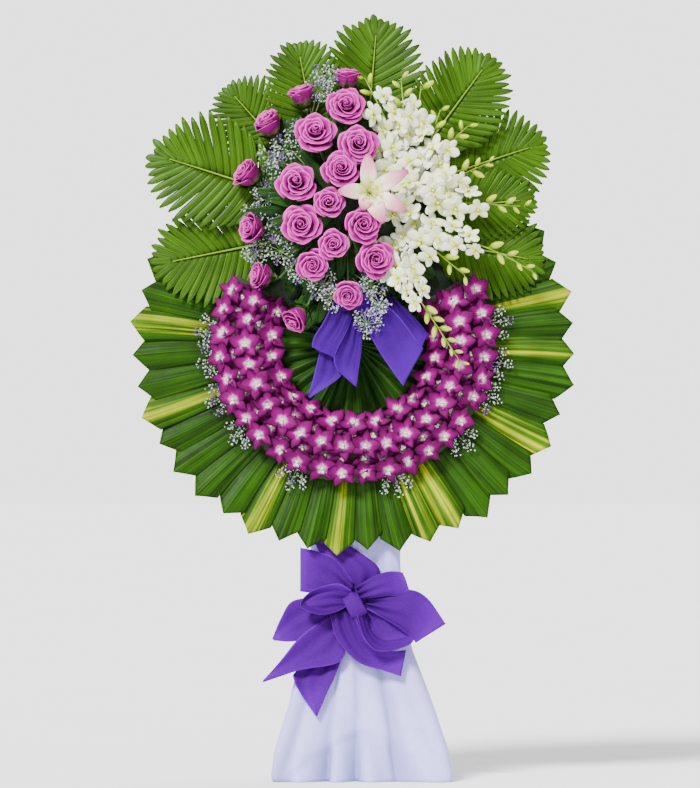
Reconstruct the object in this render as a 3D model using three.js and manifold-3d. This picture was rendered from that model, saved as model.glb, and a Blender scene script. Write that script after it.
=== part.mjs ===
// A standing funeral wreath: a round wreath of folded leaves and orchids, with a head of palm fronds, roses,
// a lily and sprays of white orchids, on a bamboo easel dressed in a white cloth skirt, with two purple bows.
// Millimetres, +Z up, the front faces -Y. The origin is on the floor, at the middle of the object's box.
import * as THREE from "three";
import { mergeVertices } from "three/addons/utils/BufferGeometryUtils.js";
import Module from "manifold-3d";

const wasm = await Module();
wasm.setup();
const V = THREE.Vector3;
const TAU = 2 * Math.PI;
const radians = THREE.MathUtils.degToRad;

// Driving dimensions
const LEAN = radians(6); // the wreath's plane leans back from upright
const GAP = 0.3; // between pieces that touch
const FRONT_FEET_Y = -122; // where the wreath's plane meets the floor
const RING_X = 3; // the ring's centre in the leaning plane
const RING_Z = 878;
const BOARD_R = 330;
const BOARD_FRONT = -18; // depths in the leaning plane, negative towards the front
const BOARD_BACK = 11.7;

// Easel
const POLE_R = 10;
const FOOT_X = 110;
const APEX_X = 11;
const APEX_Z = 1130;
const POLE_DEPTH = BOARD_BACK + GAP + POLE_R;
const REAR_FOOT_Y = 275; // behind the front feet's line
const SLAT_THICK = 10;
const SLAT_BACK = POLE_DEPTH + POLE_R + GAP + SLAT_THICK;
const HIGH_SLAT_Z = 1092;
const LOW_SLAT_Z = 300;

// Ring of leaves, its lining and the roll that carries the orchids
const LEAF_COUNT = 30;
const LEAF_STEP = radians(8.3);
const LEAF_ROOT_R = 287;
const LEAF_TIP_R = 446;
const LEAF_NOTCH = 30; // from a leaf's point back to the notch beside it
const RING_MIDDLE = radians(270); // the ring's gap faces up, so its middle is at the foot
const LINING_R = 146;
const LINING_PLEATS = 30;
const ROLL_STEPS = 20;
const ROLL_STEP = radians(12);
const BLOOM_R = 30;

// Head of the wreath
const FOAM = { x: 10, z: 1140, width: 230, height: 180, front: -85 };
const CORE = { x: -14, z: 1140, halfWidth: 118, halfHeight: 92, front: -112 };
const DOME = { z: 1140, halfWidth: 230, halfHeight: 290, edge: 70, rise: 90 };

let seed = 20;
function draw(low, high) {
  seed = (seed * 1664525 + 1013904223) % 4294967296;
  return low + ((high - low) * seed) / 4294967296;
}

// Solids and meshes

function solidOf(geometry) {
  const bare = geometry.index ? geometry.toNonIndexed() : geometry.clone();
  bare.deleteAttribute("normal");
  bare.deleteAttribute("uv");
  const merged = mergeVertices(bare, 1e-3);
  const index = merged.index.array;
  const kept = [];
  for (let i = 0; i < index.length; i += 3) {
    const [a, b, c] = [index[i], index[i + 1], index[i + 2]];
    if (a !== b && b !== c && c !== a) kept.push(a, b, c);
  }
  const solid = new wasm.Manifold(
    new wasm.Mesh({
      numProp: 3,
      vertProperties: merged.attributes.position.array,
      triVerts: new Uint32Array(kept),
    }),
  );
  if (solid.volume() < 0) throw new Error("a shape is inside out");
  return solid;
}

function fromTriangles(points, triangles) {
  const flat = triangles.flatMap((t) => t.flatMap((i) => points[i].toArray()));
  return new THREE.BufferGeometry().setAttribute(
    "position",
    new THREE.Float32BufferAttribute(flat, 3),
  );
}

// A closed solid from a triangulated sheet. Each point has a place on the front and one on the back, and the
// rim is walled where the two differ. Faces turn anticlockwise as seen from the front.
function sheet(front, back, faces) {
  const n = front.length;
  const points = [...front, ...back];
  const triangles = faces.flatMap(([a, b, c]) => [
    [a, b, c],
    [a + n, c + n, b + n],
  ]);
  const edges = new Set(faces.flatMap(([a, b, c]) => [`${a},${b}`, `${b},${c}`, `${c},${a}`]));
  for (const edge of edges) {
    const [a, b] = edge.split(",").map(Number);
    if (edges.has(`${b},${a}`)) continue;
    triangles.push([b, a, a + n], [b, a + n, b + n]);
  }
  return solidOf(fromTriangles(points, triangles));
}

// A closed solid through rings of points, each ring convex and turning the same way about the path.
function loft(rings) {
  const n = rings[0].length;
  const points = rings.flat();
  const triangles = [];
  for (let r = 0; r + 1 < rings.length; r++)
    for (let i = 0; i < n; i++) {
      const [a, b] = [r * n + i, r * n + ((i + 1) % n)];
      triangles.push([a, b, b + n], [a, b + n, a + n]);
    }
  const last = (rings.length - 1) * n;
  for (let i = 1; i + 1 < n; i++) triangles.push([0, i + 1, i], [last, last + i, last + i + 1]);
  return solidOf(fromTriangles(points, triangles));
}

// A stem of few sides along a smooth curve.
function stem(points, radius, steps = points.length - 1, sides = 3) {
  const outline = new THREE.Shape(
    Array.from({ length: sides }, (_, i) => {
      const angle = (i * TAU) / sides;
      return new THREE.Vector2(radius * Math.cos(angle), radius * Math.sin(angle));
    }),
  );
  const path = new THREE.CatmullRomCurve3(points);
  return solidOf(new THREE.ExtrudeGeometry(outline, { steps, extrudePath: path, bevelEnabled: false }));
}

// A three-sided stalk along points, whose radius changes from point to point.
function taper(points, radii) {
  const along = points.map((point, i) =>
    points[Math.min(i + 1, points.length - 1)].clone().sub(points[i ? i - 1 : 0]).normalize(),
  );
  along[along.length - 1] = points.at(-1).clone().sub(points.at(-2)).normalize();
  const bend = along[0].clone().cross(along.at(-1));
  if (bend.length() < 1e-3) bend.copy(along[0]).cross(Math.abs(along[0].y) > 0.9 ? new V(1, 0, 0) : new V(0, 1, 0));
  bend.normalize();
  return loft(
    points.map((point, i) => {
      const side = along[i].clone().cross(bend).normalize();
      const up = along[i].clone().cross(side);
      return [0, 1, 2].map((k) => {
        const angle = (k * TAU) / 3;
        const out = side.clone().multiplyScalar(Math.cos(angle)).addScaledVector(up, Math.sin(angle));
        return point.clone().addScaledVector(out, radii[i]);
      });
    }),
  );
}

function placed(solid, position, axis, spin = 0) {
  const turn = new THREE.Quaternion().setFromUnitVectors(new V(0, 0, 1), axis.clone().normalize());
  turn.multiply(new THREE.Quaternion().setFromAxisAngle(new V(0, 0, 1), spin));
  const matrix = new THREE.Matrix4().compose(position, turn, new V(1, 1, 1));
  return solid.transform(matrix.elements);
}

// A bud or floret of eight faces, long along its axis.
function bud(position, axis, length, radius) {
  const shape = new THREE.OctahedronGeometry(1).scale(radius, radius, length / 2);
  return placed(solidOf(shape), position, axis);
}

function join(solids) {
  return wasm.Manifold.union(solids);
}

// The largest body of a solid: scraps that a cut has freed are dropped.
function whole(solid) {
  return solid.decompose().sort((a, b) => b.volume() - a.volume())[0];
}

const SHIFTS = [-1, 0, 1];
const CLEARANCE_WAYS = SHIFTS.flatMap((x) => SHIFTS.flatMap((y) => SHIFTS.map((z) => [x, y, z]))).filter(
  (way) => way.filter(Boolean).length !== 2,
);

// Cuts a solid back from a neighbour that it would cross, and keeps a gap.
function clearOf(solid, neighbour) {
  const common = solid.intersect(neighbour);
  if (common.isEmpty() || common.volume() < 1e-3) return solid;
  const grown = join(CLEARANCE_WAYS.map((way) => neighbour.translate(way.map((x) => x * GAP))));
  return whole(solid.subtract(grown));
}

// Places in the leaning plane: x, depth and height

function onRing(angle, radius, depth) {
  return new V(RING_X + radius * Math.cos(angle), depth, RING_Z + radius * Math.sin(angle));
}

function domeDepth(x, z) {
  const out = (x / DOME.halfWidth) ** 2 + ((z - DOME.z) / DOME.halfHeight) ** 2;
  return -(DOME.edge + DOME.rise * Math.max(0, 1 - out));
}

// A direction: turn is its angle in the plane, lift how far it comes towards the front.
function facing(turn, lift) {
  const [t, l] = [radians(turn), radians(lift)];
  return new V(Math.cos(t) * Math.cos(l), -Math.sin(l), Math.sin(t) * Math.cos(l));
}

function toFloorFrame(x, depth, height) {
  return new V(
    x,
    FRONT_FEET_Y + depth * Math.cos(LEAN) + height * Math.sin(LEAN),
    height * Math.cos(LEAN) - depth * Math.sin(LEAN),
  );
}

// Easel, in the floor's frame

const floorPlane = new THREE.Plane(new V(0, 0, 1), 0);
const CANE_JOINTS = 3;
const CANE_SIDES = 8;

// A bamboo pole whose flat ends lie on two planes, with a swollen ring at each joint of the cane.
function bambooPole(foot, head, footPlane, headPlane) {
  const along = head.clone().sub(foot);
  const length = along.length();
  along.normalize();
  const across = new V(0, Math.cos(LEAN), -Math.sin(LEAN)).cross(along).normalize();
  const outward = along.clone().cross(across);
  const corner = POLE_R / Math.cos(Math.PI / CANE_SIDES);
  const offsets = Array.from({ length: CANE_SIDES }, (_, i) => {
    const angle = ((i + 0.5) * TAU) / CANE_SIDES;
    return across
      .clone()
      .multiplyScalar(corner * Math.cos(angle))
      .addScaledVector(outward, corner * Math.sin(angle));
  });
  const ringAt = (distance, scale) =>
    offsets.map((o) => foot.clone().addScaledVector(o, scale).addScaledVector(along, distance));
  const ringOn = (plane) =>
    offsets.map((o) => {
      const start = foot.clone().add(o);
      return start.addScaledVector(along, -plane.distanceToPoint(start) / plane.normal.dot(along));
    });
  const rings = [ringOn(footPlane)];
  for (let k = 1; k <= CANE_JOINTS; k++) {
    const middle = (length * (k - 0.45)) / CANE_JOINTS;
    rings.push(ringAt(middle - 7, 0.93), ringAt(middle, 0.999), ringAt(middle + 7, 0.93));
  }
  rings.push(ringOn(headPlane));
  return loft(rings);
}

function frontLeg(side) {
  const foot = toFloorFrame(side * FOOT_X, POLE_DEPTH, 0);
  const head = toFloorFrame(side * APEX_X, POLE_DEPTH, APEX_Z);
  const top = new THREE.Plane().setFromNormalAndCoplanarPoint(new V(0, 0, 1), head);
  return bambooPole(foot, head, floorPlane, top);
}

function rearLeg() {
  const foot = new V(0, FRONT_FEET_Y + REAR_FOOT_Y, 0);
  const head = toFloorFrame(0, SLAT_BACK + GAP, HIGH_SLAT_Z);
  const seat = new THREE.Plane().setFromNormalAndCoplanarPoint(
    new V(0, Math.cos(LEAN), -Math.sin(LEAN)),
    head,
  );
  return bambooPole(foot, head, floorPlane, seat);
}

function slat(width, height, z) {
  const box = new THREE.BoxGeometry(width, SLAT_THICK, height);
  const middle = toFloorFrame(0, SLAT_BACK - SLAT_THICK / 2, z);
  return solidOf(box.rotateX(-LEAN).translate(middle.x, middle.y, middle.z));
}

// A bar on edge from the low slat back to the rear leg.
function spreader() {
  const start = toFloorFrame(0, SLAT_BACK + GAP, LOW_SLAT_Z);
  const foot = FRONT_FEET_Y + REAR_FOOT_Y;
  const head = toFloorFrame(0, SLAT_BACK + GAP, HIGH_SLAT_Z);
  const legY = foot + ((head.y - foot) * start.z) / head.z;
  const end = legY - POLE_R * 0.7;
  const box = new THREE.BoxGeometry(12, end - start.y - 2, 16);
  return solidOf(box.translate(0, (start.y + end + 2) / 2, start.z));
}

// Cloth skirt: levels from the hem up, as height, half width, how far the front stands before the legs and
// the back behind the rear leg, and how deep its folds are
const SKIRT_LEVELS = [
  [0, 186, 62, 46, 9],
  [60, 176, 50, 40, 9],
  [150, 146, 30, 26, 7],
  [260, 114, 12, 12, 4],
  [362, 97, 6, 6, 1],
  [440, 93, 6, 6, 2],
  [536, 92, 6, 6, 3],
];
const SKIRT_POINTS = 24;
const SKIRT_FOLDS = 6;
const SKIRT_WALL = 2;
const SKIRT_DRIFT = 8; // the hem lies this far to one side of the top

function skirtLine(level, inset) {
  const [z, halfWidth, forward, behind, fold] = level;
  const front = toFloorFrame(0, POLE_DEPTH - POLE_R - 2, z).y - forward;
  const rearFoot = FRONT_FEET_Y + REAR_FOOT_Y;
  const rearHead = toFloorFrame(0, SLAT_BACK, HIGH_SLAT_Z);
  const rear = rearFoot + ((rearHead.y - rearFoot) * z) / rearHead.z + POLE_R * 1.3 + behind;
  const drift = SKIRT_DRIFT * Math.max(0, 1 - z / 200);
  const [w, f, r] = [halfWidth - inset, front + inset, rear - inset];
  const rearW = w * 0.66;
  const round = 26;
  const path = new THREE.Path();
  path.moveTo(0, f);
  path.lineTo(w - round, f);
  path.quadraticCurveTo(w, f, w - 2, f + round);
  path.lineTo(rearW + 6, r - round * 1.6);
  path.quadraticCurveTo(rearW, r, rearW - round * 1.3, r);
  path.lineTo(-rearW + round * 1.3, r);
  path.quadraticCurveTo(-rearW, r, -rearW - 6, r - round * 1.6);
  path.lineTo(-w + 2, f + round);
  path.quadraticCurveTo(-w, f, -w + round, f);
  path.lineTo(0, f);
  const middle = (f + r) / 2;
  return path
    .getSpacedPoints(SKIRT_POINTS)
    .slice(0, SKIRT_POINTS)
    .map((p, i) => {
      const wave = fold * (0.5 + 0.5 * Math.sin((i / SKIRT_POINTS) * TAU * SKIRT_FOLDS + z / 90));
      const out = new THREE.Vector2(p.x, p.y - middle).normalize();
      return new V(p.x + out.x * wave + drift, p.y + out.y * wave, z);
    });
}

function skirt() {
  const outside = SKIRT_LEVELS.map((level) => skirtLine(level, 0));
  const inside = SKIRT_LEVELS.map((level) => skirtLine(level, SKIRT_WALL));
  const rings = [...outside, ...inside.reverse()];
  const points = rings.flat();
  const triangles = [];
  for (let r = 0; r < rings.length; r++)
    for (let i = 0; i < SKIRT_POINTS; i++) {
      const next = (r + 1) % rings.length;
      const [a, b] = [r * SKIRT_POINTS + i, r * SKIRT_POINTS + ((i + 1) % SKIRT_POINTS)];
      const [c, d] = [next * SKIRT_POINTS + i, next * SKIRT_POINTS + ((i + 1) % SKIRT_POINTS)];
      triangles.push([a, b, d], [a, d, c]);
    }
  return solidOf(fromTriangles(points, triangles));
}

// A ribbon: a strip through stations, each a point and the strip's half width as a vector.
function ribbon(stations, thickness = 1.6) {
  const rings = stations.map(([middle, half], i) => {
    const [before, after] = [stations[Math.max(0, i - 1)][0], stations[Math.min(stations.length - 1, i + 1)][0]];
    const along = after.clone().sub(before).normalize();
    const out = along.cross(half).normalize().multiplyScalar(thickness / 2);
    return [
      middle.clone().add(half).add(out),
      middle.clone().sub(half).add(out),
      middle.clone().sub(half).sub(out),
      middle.clone().add(half).sub(out),
    ];
  });
  return loft(rings);
}

// A bow loop: out from the knot along a direction, round, and back behind.
function bowLoop(knot, turn, reach, width, depth, steps = 6) {
  const out = facing(turn, 0);
  const side = facing(turn + 90, 0);
  const front = new V(0, -1, 0);
  return ribbon(
    Array.from({ length: steps + 1 }, (_, i) => {
      const t = (i / steps) * Math.PI;
      const far = Math.sin(t) ** 0.8;
      const middle = knot
        .clone()
        .addScaledVector(out, 16 + (reach - 16) * far)
        .addScaledVector(front, depth * (0.5 + 0.5 * Math.cos(t)) * (0.35 + 0.65 * far));
      const half = side.clone().multiplyScalar(width * (0.22 + 0.78 * far));
      return [middle, half.addScaledVector(front, width * 0.25 * far)];
    }),
  );
}

// A bow tail: from the knot to its cut end, in a gentle wave.
function bowTail(knot, end, width, wave, steps = 4) {
  const run = end.clone().sub(knot);
  const side = new V(run.z, 0, -run.x).normalize();
  return ribbon(
    Array.from({ length: steps + 1 }, (_, i) => {
      const t = 0.1 + (0.9 * i) / steps;
      const middle = knot.clone().addScaledVector(run, t);
      middle.y -= wave * Math.sin(t * Math.PI);
      return [middle, side.clone().multiplyScalar(width * (0.3 + 0.7 * t ** 0.6))];
    }),
  );
}

// Leaves of the ring, as one pleated sheet for each quarter

function leafSector(first, count) {
  const [front, back, faces] = [[], [], []];
  const start = RING_MIDDLE - (LEAF_COUNT / 2) * LEAF_STEP;
  const thick = 1.4;
  const add = (angle, radius, depth, half) => {
    front.push(onRing(angle, radius, depth - half));
    back.push(onRing(angle, radius, depth + half));
    return front.length - 1;
  };
  let before = null;
  for (let i = first; i < first + count; i++) {
    const middle = start + (i + 0.5) * LEAF_STEP;
    const trim = 0.0008;
    const [left, right] = [middle - LEAF_STEP / 2 + trim, middle + LEAF_STEP / 2 - trim];
    const sway = 6 * Math.sin(i * 2.4);
    const tip = LEAF_TIP_R + sway - 12 * Math.cos(middle - RING_MIDDLE) ** 4;
    const notch = tip - LEAF_NOTCH;
    const column = (angle, depth, edge) => [
      add(angle, LEAF_ROOT_R, depth, thick / 2),
      add(angle, notch, depth - 2, edge ? 0 : thick / 2),
    ];
    const l = column(left, BOARD_FRONT - GAP - thick / 2, true);
    const m = column(middle, BOARD_FRONT - 12, false);
    const r = column(right, BOARD_FRONT - 6.5, true);
    const point = add(middle + 0.004 * Math.sin(i), tip, BOARD_FRONT - 10, 0);
    const quad = (a, b) => faces.push([a[0], b[1], b[0]], [a[0], a[1], b[1]]);
    if (before) quad(before, l);
    quad(l, m);
    quad(m, r);
    faces.push([l[1], point, m[1]], [m[1], point, r[1]]);
    before = r;
  }
  return sheet(front, back, faces);
}

// The pleated palm leaf that lines the ring

function lining() {
  const count = LINING_PLEATS * 2;
  const flat = BOARD_FRONT - GAP;
  const front = [onRing(0, 0, flat - 18)];
  const back = [onRing(0, 0, flat)];
  const faces = [];
  for (let i = 0; i < count; i++) {
    const angle = (i / count) * TAU;
    front.push(onRing(angle, LINING_R, flat - (i % 2 ? 4 : 14)));
    back.push(onRing(angle, LINING_R, flat));
    faces.push([0, 1 + i, 1 + ((i + 1) % count)]);
  }
  return sheet(front, back, faces);
}

// The roll of moss that the orchids are pinned to. Its section is given as radius and depth.
const ROLL_SECTION = [
  [152, BOARD_FRONT - GAP],
  [166, -50],
  [215, -63],
  [264, -50],
  [283, BOARD_FRONT - GAP],
];

function rollRing(angle, section) {
  return section.map(([radius, depth]) => onRing(angle, radius, depth));
}

function rollDepth(radius) {
  const [crownRadius, crownDepth] = ROLL_SECTION[2];
  const [shoulderRadius, shoulderDepth] = ROLL_SECTION[3];
  const slope = (shoulderDepth - crownDepth) / (shoulderRadius - crownRadius);
  return crownDepth + Math.abs(radius - crownRadius) * slope;
}

function roll() {
  const start = RING_MIDDLE - (ROLL_STEPS / 2) * ROLL_STEP;
  const rings = Array.from({ length: ROLL_STEPS + 1 }, (_, i) => rollRing(start + i * ROLL_STEP, ROLL_SECTION));
  return loft(rings);
}

// Sprigs of filler that stand out of the roll's outer edge: angle in degrees and reach
const SPRIGS = [
  [176, 34],
  [188, 28],
  [203, 36],
  [219, 32],
  [246, 36],
  [287, 38],
  [318, 36],
  [338, 32],
  [352, 36],
  [8, 38],
];

function sprig([degrees, reach]) {
  const root = onRing(radians(degrees), 262, -32);
  const end = onRing(radians(degrees), 280 + reach, -43);
  const shares = [0, 0.36, 0.5, 0.64, 0.82, 1];
  return taper(shares.map((t) => root.clone().lerp(end, t)), [1.4, 1.4, 5, 1.4, 5, 0.4]);
}

// A five-petalled bloom seen along +Z, with a three-sided neck behind it down to its foot.
// Petals are [angle in degrees, length, half width], shares of the bloom's radius.
const NECK_R = 1.8;
const ORCHID_PETALS = [
  [18, 0.98, 0.36],
  [90, 1, 0.27],
  [162, 0.98, 0.36],
  [226, 0.96, 0.28],
  [314, 0.96, 0.28],
];

function bloom(radius, petals, cup, foot) {
  const front = [new V(0, 0, radius * 0.06)];
  const rim = (angle, share, height) =>
    front.push(new V(radius * share * Math.cos(angle), radius * share * Math.sin(angle), radius * height));
  petals.forEach(([degrees, length, half], k) => {
    const angle = radians(degrees);
    const spread = Math.atan2(half, 0.9 * length);
    const next = petals[(k + 1) % petals.length][0] + (k + 1 === petals.length ? 360 : 0);
    rim(angle - spread, length, cup);
    rim(angle + spread, length * 0.94, cup * 0.8);
    rim(radians((degrees + next) / 2), 0.3, 0);
  });
  const count = front.length - 1;
  const points = [...front];
  for (const height of [-1.6, -foot])
    for (let k = 0; k < 3; k++) {
      const angle = ((k + 0.5) * TAU) / 3 + radians(petals[0][0]) - 0.5;
      points.push(new V(NECK_R * Math.cos(angle), NECK_R * Math.sin(angle), height));
    }
  const neck = 1 + count;
  const triangles = [];
  const side = (i) => Math.floor((3 * (i + 0.5)) / count);
  for (let i = 0; i < count; i++) {
    const [a, b] = [1 + i, 1 + ((i + 1) % count)];
    triangles.push([0, a, b], [b, a, neck + side(i)]);
    const before = side((i + count - 1) % count);
    if (before !== side(i)) triangles.push([a, neck + before, neck + side(i)]);
  }
  for (let k = 0; k < 3; k++) {
    const [a, b] = [neck + k, neck + ((k + 1) % 3)];
    triangles.push([b, a, a + 3], [b, a + 3, b + 3]);
  }
  triangles.push([neck + 3, neck + 5, neck + 4]);
  return solidOf(fromTriangles(points, triangles));
}

// Rows of orchids round the roll: radius, depth, how many, and how far they face out from the front.
const ORCHID_ROWS = [
  { radius: 172, count: 15, out: -32 },
  { radius: 215, count: 20, out: 0 },
  { radius: 258, count: 24, out: 32 },
];
const ORCHID_ARCS = 4;
const ORCHID_SPAN = radians(236);
const ORCHID_STAND = 11; // a bloom's middle over the mat of its arc

function orchidPlaces() {
  return ORCHID_ROWS.flatMap((row, r) =>
    Array.from({ length: row.count }, (_, i) => {
      const share = (i + 0.5) / row.count - 0.5;
      const angle = RING_MIDDLE + share * ORCHID_SPAN + draw(-0.018, 0.018);
      const tilt = radians(row.out + draw(-7, 7));
      const axis = new V(Math.cos(angle), 0, Math.sin(angle)).multiplyScalar(Math.sin(tilt));
      axis.add(new V(draw(-0.08, 0.08), -Math.cos(tilt), draw(-0.08, 0.08))).normalize();
      const stand = ORCHID_STAND + ((i + r) % 2 ? 7 : 0);
      const seat = onRing(angle, row.radius, rollDepth(row.radius) - 1.9);
      return {
        angle,
        axis,
        stand,
        position: seat.addScaledVector(axis, stand),
        spin: draw(-0.9, 0.9),
        size: draw(0.94, 1.06) * BLOOM_R,
      };
    }),
  );
}

// The orchids of one arc stand out of a thin mat of back petals that fits over the roll.
function orchidArc(index, places) {
  const stepsPerArc = ROLL_STEPS / ORCHID_ARCS;
  const start = RING_MIDDLE + (index - ORCHID_ARCS / 2) * stepsPerArc * ROLL_STEP;
  const end = start + stepsPerArc * ROLL_STEP;
  const section = ROLL_SECTION.slice(1, -1);
  const shifted = (by) => section.map(([radius, depth]) => [215 + (radius - 215) * (1 + by / 80), depth - by]);
  const matSection = [...shifted(3), ...shifted(0.5).reverse()];
  const rings = [];
  for (let i = 0; i <= stepsPerArc; i++) rings.push(rollRing(start + i * ROLL_STEP, matSection));
  const mat = sheetRing(rings);
  const blooms = places
    .filter((p) => p.angle >= start && p.angle < end)
    .map((p) => placed(bloom(p.size, ORCHID_PETALS, 0.12, p.stand), p.position, p.axis, p.spin));
  const slack = 0.0012;
  const wedge = new THREE.Shape([
    new THREE.Vector2(0, 0),
    new THREE.Vector2(600 * Math.cos(start + slack), 600 * Math.sin(start + slack)),
    new THREE.Vector2(720 * Math.cos((start + end) / 2), 720 * Math.sin((start + end) / 2)),
    new THREE.Vector2(600 * Math.cos(end - slack), 600 * Math.sin(end - slack)),
  ]);
  const sector = new THREE.ExtrudeGeometry(wedge, { depth: 200, bevelEnabled: false });
  sector.rotateX(Math.PI / 2).translate(RING_X, 0, RING_Z);
  return whole(join([mat, ...blooms]).intersect(solidOf(sector)));
}

// A loft through rings whose outline isn't convex: a thin band, whose ends are closed pair by pair.
function sheetRing(rings) {
  const n = rings[0].length;
  const points = rings.flat();
  const triangles = [];
  for (let r = 0; r + 1 < rings.length; r++)
    for (let i = 0; i < n; i++) {
      const [a, b] = [r * n + i, r * n + ((i + 1) % n)];
      triangles.push([a, b, b + n], [a, b + n, a + n]);
    }
  const last = (rings.length - 1) * n;
  for (let i = 0; i < n / 2 - 1; i++) {
    const [a, b, c, d] = [i, i + 1, n - 2 - i, n - 1 - i];
    triangles.push([a, c, b], [a, d, c], [last + a, last + b, last + c], [last + a, last + c, last + d]);
  }
  return solidOf(fromTriangles(points, triangles));
}

// Palm fronds: foot and tip of the rib in the leaning plane, depth, and how wide the trimmed blade is.
// Each foot stands in the foam block, whose face cuts the stalk square.
const FRONDS = [
  { name: "top", foot: [26, 1222], tip: [52, 1546], depth: -32, wide: 0.34, lean: 4 },
  { name: "left_1", foot: [-62, 1222], tip: [-112, 1492], depth: -46, wide: 0.34, lean: -6 },
  { name: "left_2", foot: [-98, 1222], tip: [-258, 1402], depth: -32, wide: 0.38, lean: 0 },
  { name: "left_3", foot: [-98, 1160], tip: [-410, 1262], depth: -46, wide: 0.38, lean: 0 },
  { name: "left_4", foot: [-98, 1094], tip: [-402, 1034], depth: -33, wide: 0.36, lean: 0 },
  { name: "right_1", foot: [112, 1222], tip: [286, 1462], depth: -46, wide: 0.36, lean: 0 },
  { name: "right_2", foot: [118, 1192], tip: [394, 1286], depth: -32, wide: 0.38, lean: 0 },
  { name: "right_3", foot: [118, 1140], tip: [372, 1168], depth: -46, wide: 0.3, lean: 0 },
  { name: "right_4", foot: [118, 1092], tip: [392, 1040], depth: -33, wide: 0.36, lean: 0 },
];
const LEAFLET_PAIRS = 9;
const LEAFLET_HALF = 8;

function frond({ foot, tip, depth, wide, lean }) {
  const length = Math.hypot(tip[0] - foot[0], tip[1] - foot[1]);
  const along = new THREE.Vector2(tip[0] - foot[0], tip[1] - foot[1]).divideScalar(length);
  const across = new THREE.Vector2(-along.y, along.x);
  const arch = (s, q) => depth - 0.00035 * s * (length - s) - 0.0009 * q * q + lean * (s / length);
  const at = (s, q, lift = 0) =>
    new V(foot[0] + along.x * s + across.x * q, arch(s, q) - lift, foot[1] + along.y * s + across.y * q);
  const [front, back, faces] = [[], [], []];
  const add = (s, q, lift, half) => {
    front.push(at(s, q, lift + half));
    back.push(at(s, q, lift - half));
    return front.length - 1;
  };
  const ribStart = 0.3 * length;
  const ribEnd = 0.8 * length;
  const ribAt = (k) => ribStart + ((ribEnd - ribStart) * k) / LEAFLET_PAIRS;
  const edges = { 1: [], [-1]: [] };
  for (let k = 0; k <= LEAFLET_PAIRS; k++)
    for (const side of [1, -1]) edges[side].push(add(ribAt(k), side * 2.4, 1, 1));
  const leaflets = { 1: [], [-1]: [] };
  for (let k = 0; k < LEAFLET_PAIRS; k++) {
    const beta = radians(140 - (130 * k) / (LEAFLET_PAIRS - 1));
    for (const side of [1, -1]) {
      const root = new THREE.Vector2((ribAt(k) + ribAt(k + 1)) / 2, side * 2.4);
      const end = new THREE.Vector2(length * (0.6 + 0.4 * Math.cos(beta)), side * wide * length * Math.sin(beta));
      leaflets[side].push({ root, run: end.sub(root) });
    }
  }
  // Half of a leaflet's room between its neighbours at its widest place.
  const room = (row, k) => {
    const at = row[k].root.clone().addScaledVector(row[k].run, 0.6);
    const gaps = [row[k - 1], row[k + 1]].filter(Boolean).map(({ root, run }) => {
      const unit = run.clone().normalize();
      return Math.abs(at.clone().sub(root).cross(unit));
    });
    return Math.min(LEAFLET_HALF, Math.min(...gaps) / 2 - 0.3);
  };
  const leaflet = (rootA, rootB, row, k) => {
    const { root, run } = row[k];
    const n = new THREE.Vector2(-run.y, run.x).normalize().multiplyScalar(room(row, k));
    const place = (t, w, lift, half) =>
      add(root.x + run.x * t + n.x * w, root.y + run.y * t + n.y * w, lift, half);
    const rim = [rootA, place(0.6, -1, 0, 0), place(1, 0, 0, 0), place(0.6, 1, 0, 0), rootB];
    const middle = place(0.5, 0, 3, 0.8);
    rim.forEach((point, j) => faces.push([middle, point, rim[(j + 1) % rim.length]]));
  };
  for (let k = 0; k < LEAFLET_PAIRS; k++) {
    const [left, right] = [edges[1], edges[-1]];
    leaflet(left[k + 1], left[k], leaflets[1], k);
    leaflet(right[k], right[k + 1], leaflets[-1], k);
    faces.push([left[k], right[k], right[k + 1]], [left[k], right[k + 1], left[k + 1]]);
  }
  const end = add(ribEnd + 0.2 * length, 0, 0, 0);
  faces.push([edges[1].at(-1), edges[-1].at(-1), end]);
  const blade = sheet(front, back, faces);
  const stalk = stem([at(0, 0, 0), at(ribStart * 0.55, 0, 0.6), at(ribStart + 12, 0, 1.6)], 3.4, 2, 4);
  return join([blade, stalk]);
}

// Roses: place in the leaning plane, radius, where they face, and whether they are open
const ROSES = [
  { x: -12, z: 1342, r: 40, turn: 90, lift: 68, open: true },
  { x: -70, z: 1286, r: 41, turn: 96, lift: 68, open: true },
  { x: 12, z: 1262, r: 40, turn: 80, lift: 76, open: true },
  { x: -24, z: 1207, r: 37, turn: 90, lift: 74, open: true },
  { x: -110, z: 1184, r: 40, turn: 110, lift: 72, open: true },
  { x: -46, z: 1144, r: 31, turn: 90, lift: 80, open: true },
  { x: -102, z: 1099, r: 40, turn: 150, lift: 84, open: true },
  { x: 22, z: 1100, r: 37, turn: 20, lift: 82, open: true },
  { x: -38, z: 1060, r: 31, turn: 200, lift: 84, open: true },
  { x: -78, z: 1021, r: 32, turn: 250, lift: 80, open: true },
  { x: 46, z: 1034, r: 37, turn: 330, lift: 80, open: true },
  { x: -6, z: 966, r: 29, turn: 265, lift: 66, open: true },
  { x: -10, z: 1404, r: 27, turn: 88, lift: 14, open: false },
  { x: -98, z: 1368, r: 27, turn: 108, lift: 18, open: false },
  { x: -162, z: 1310, r: 30, turn: 128, lift: 28, open: false },
  { x: -204, z: 1208, r: 28, turn: 146, lift: 28, open: false },
  { x: -194, z: 1100, r: 28, turn: 178, lift: 38, open: false },
  { x: -178, z: 1006, r: 26, turn: 176, lift: 26, open: false },
  { x: -106, z: 926, r: 27, turn: 232, lift: 26, open: false },
];
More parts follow.
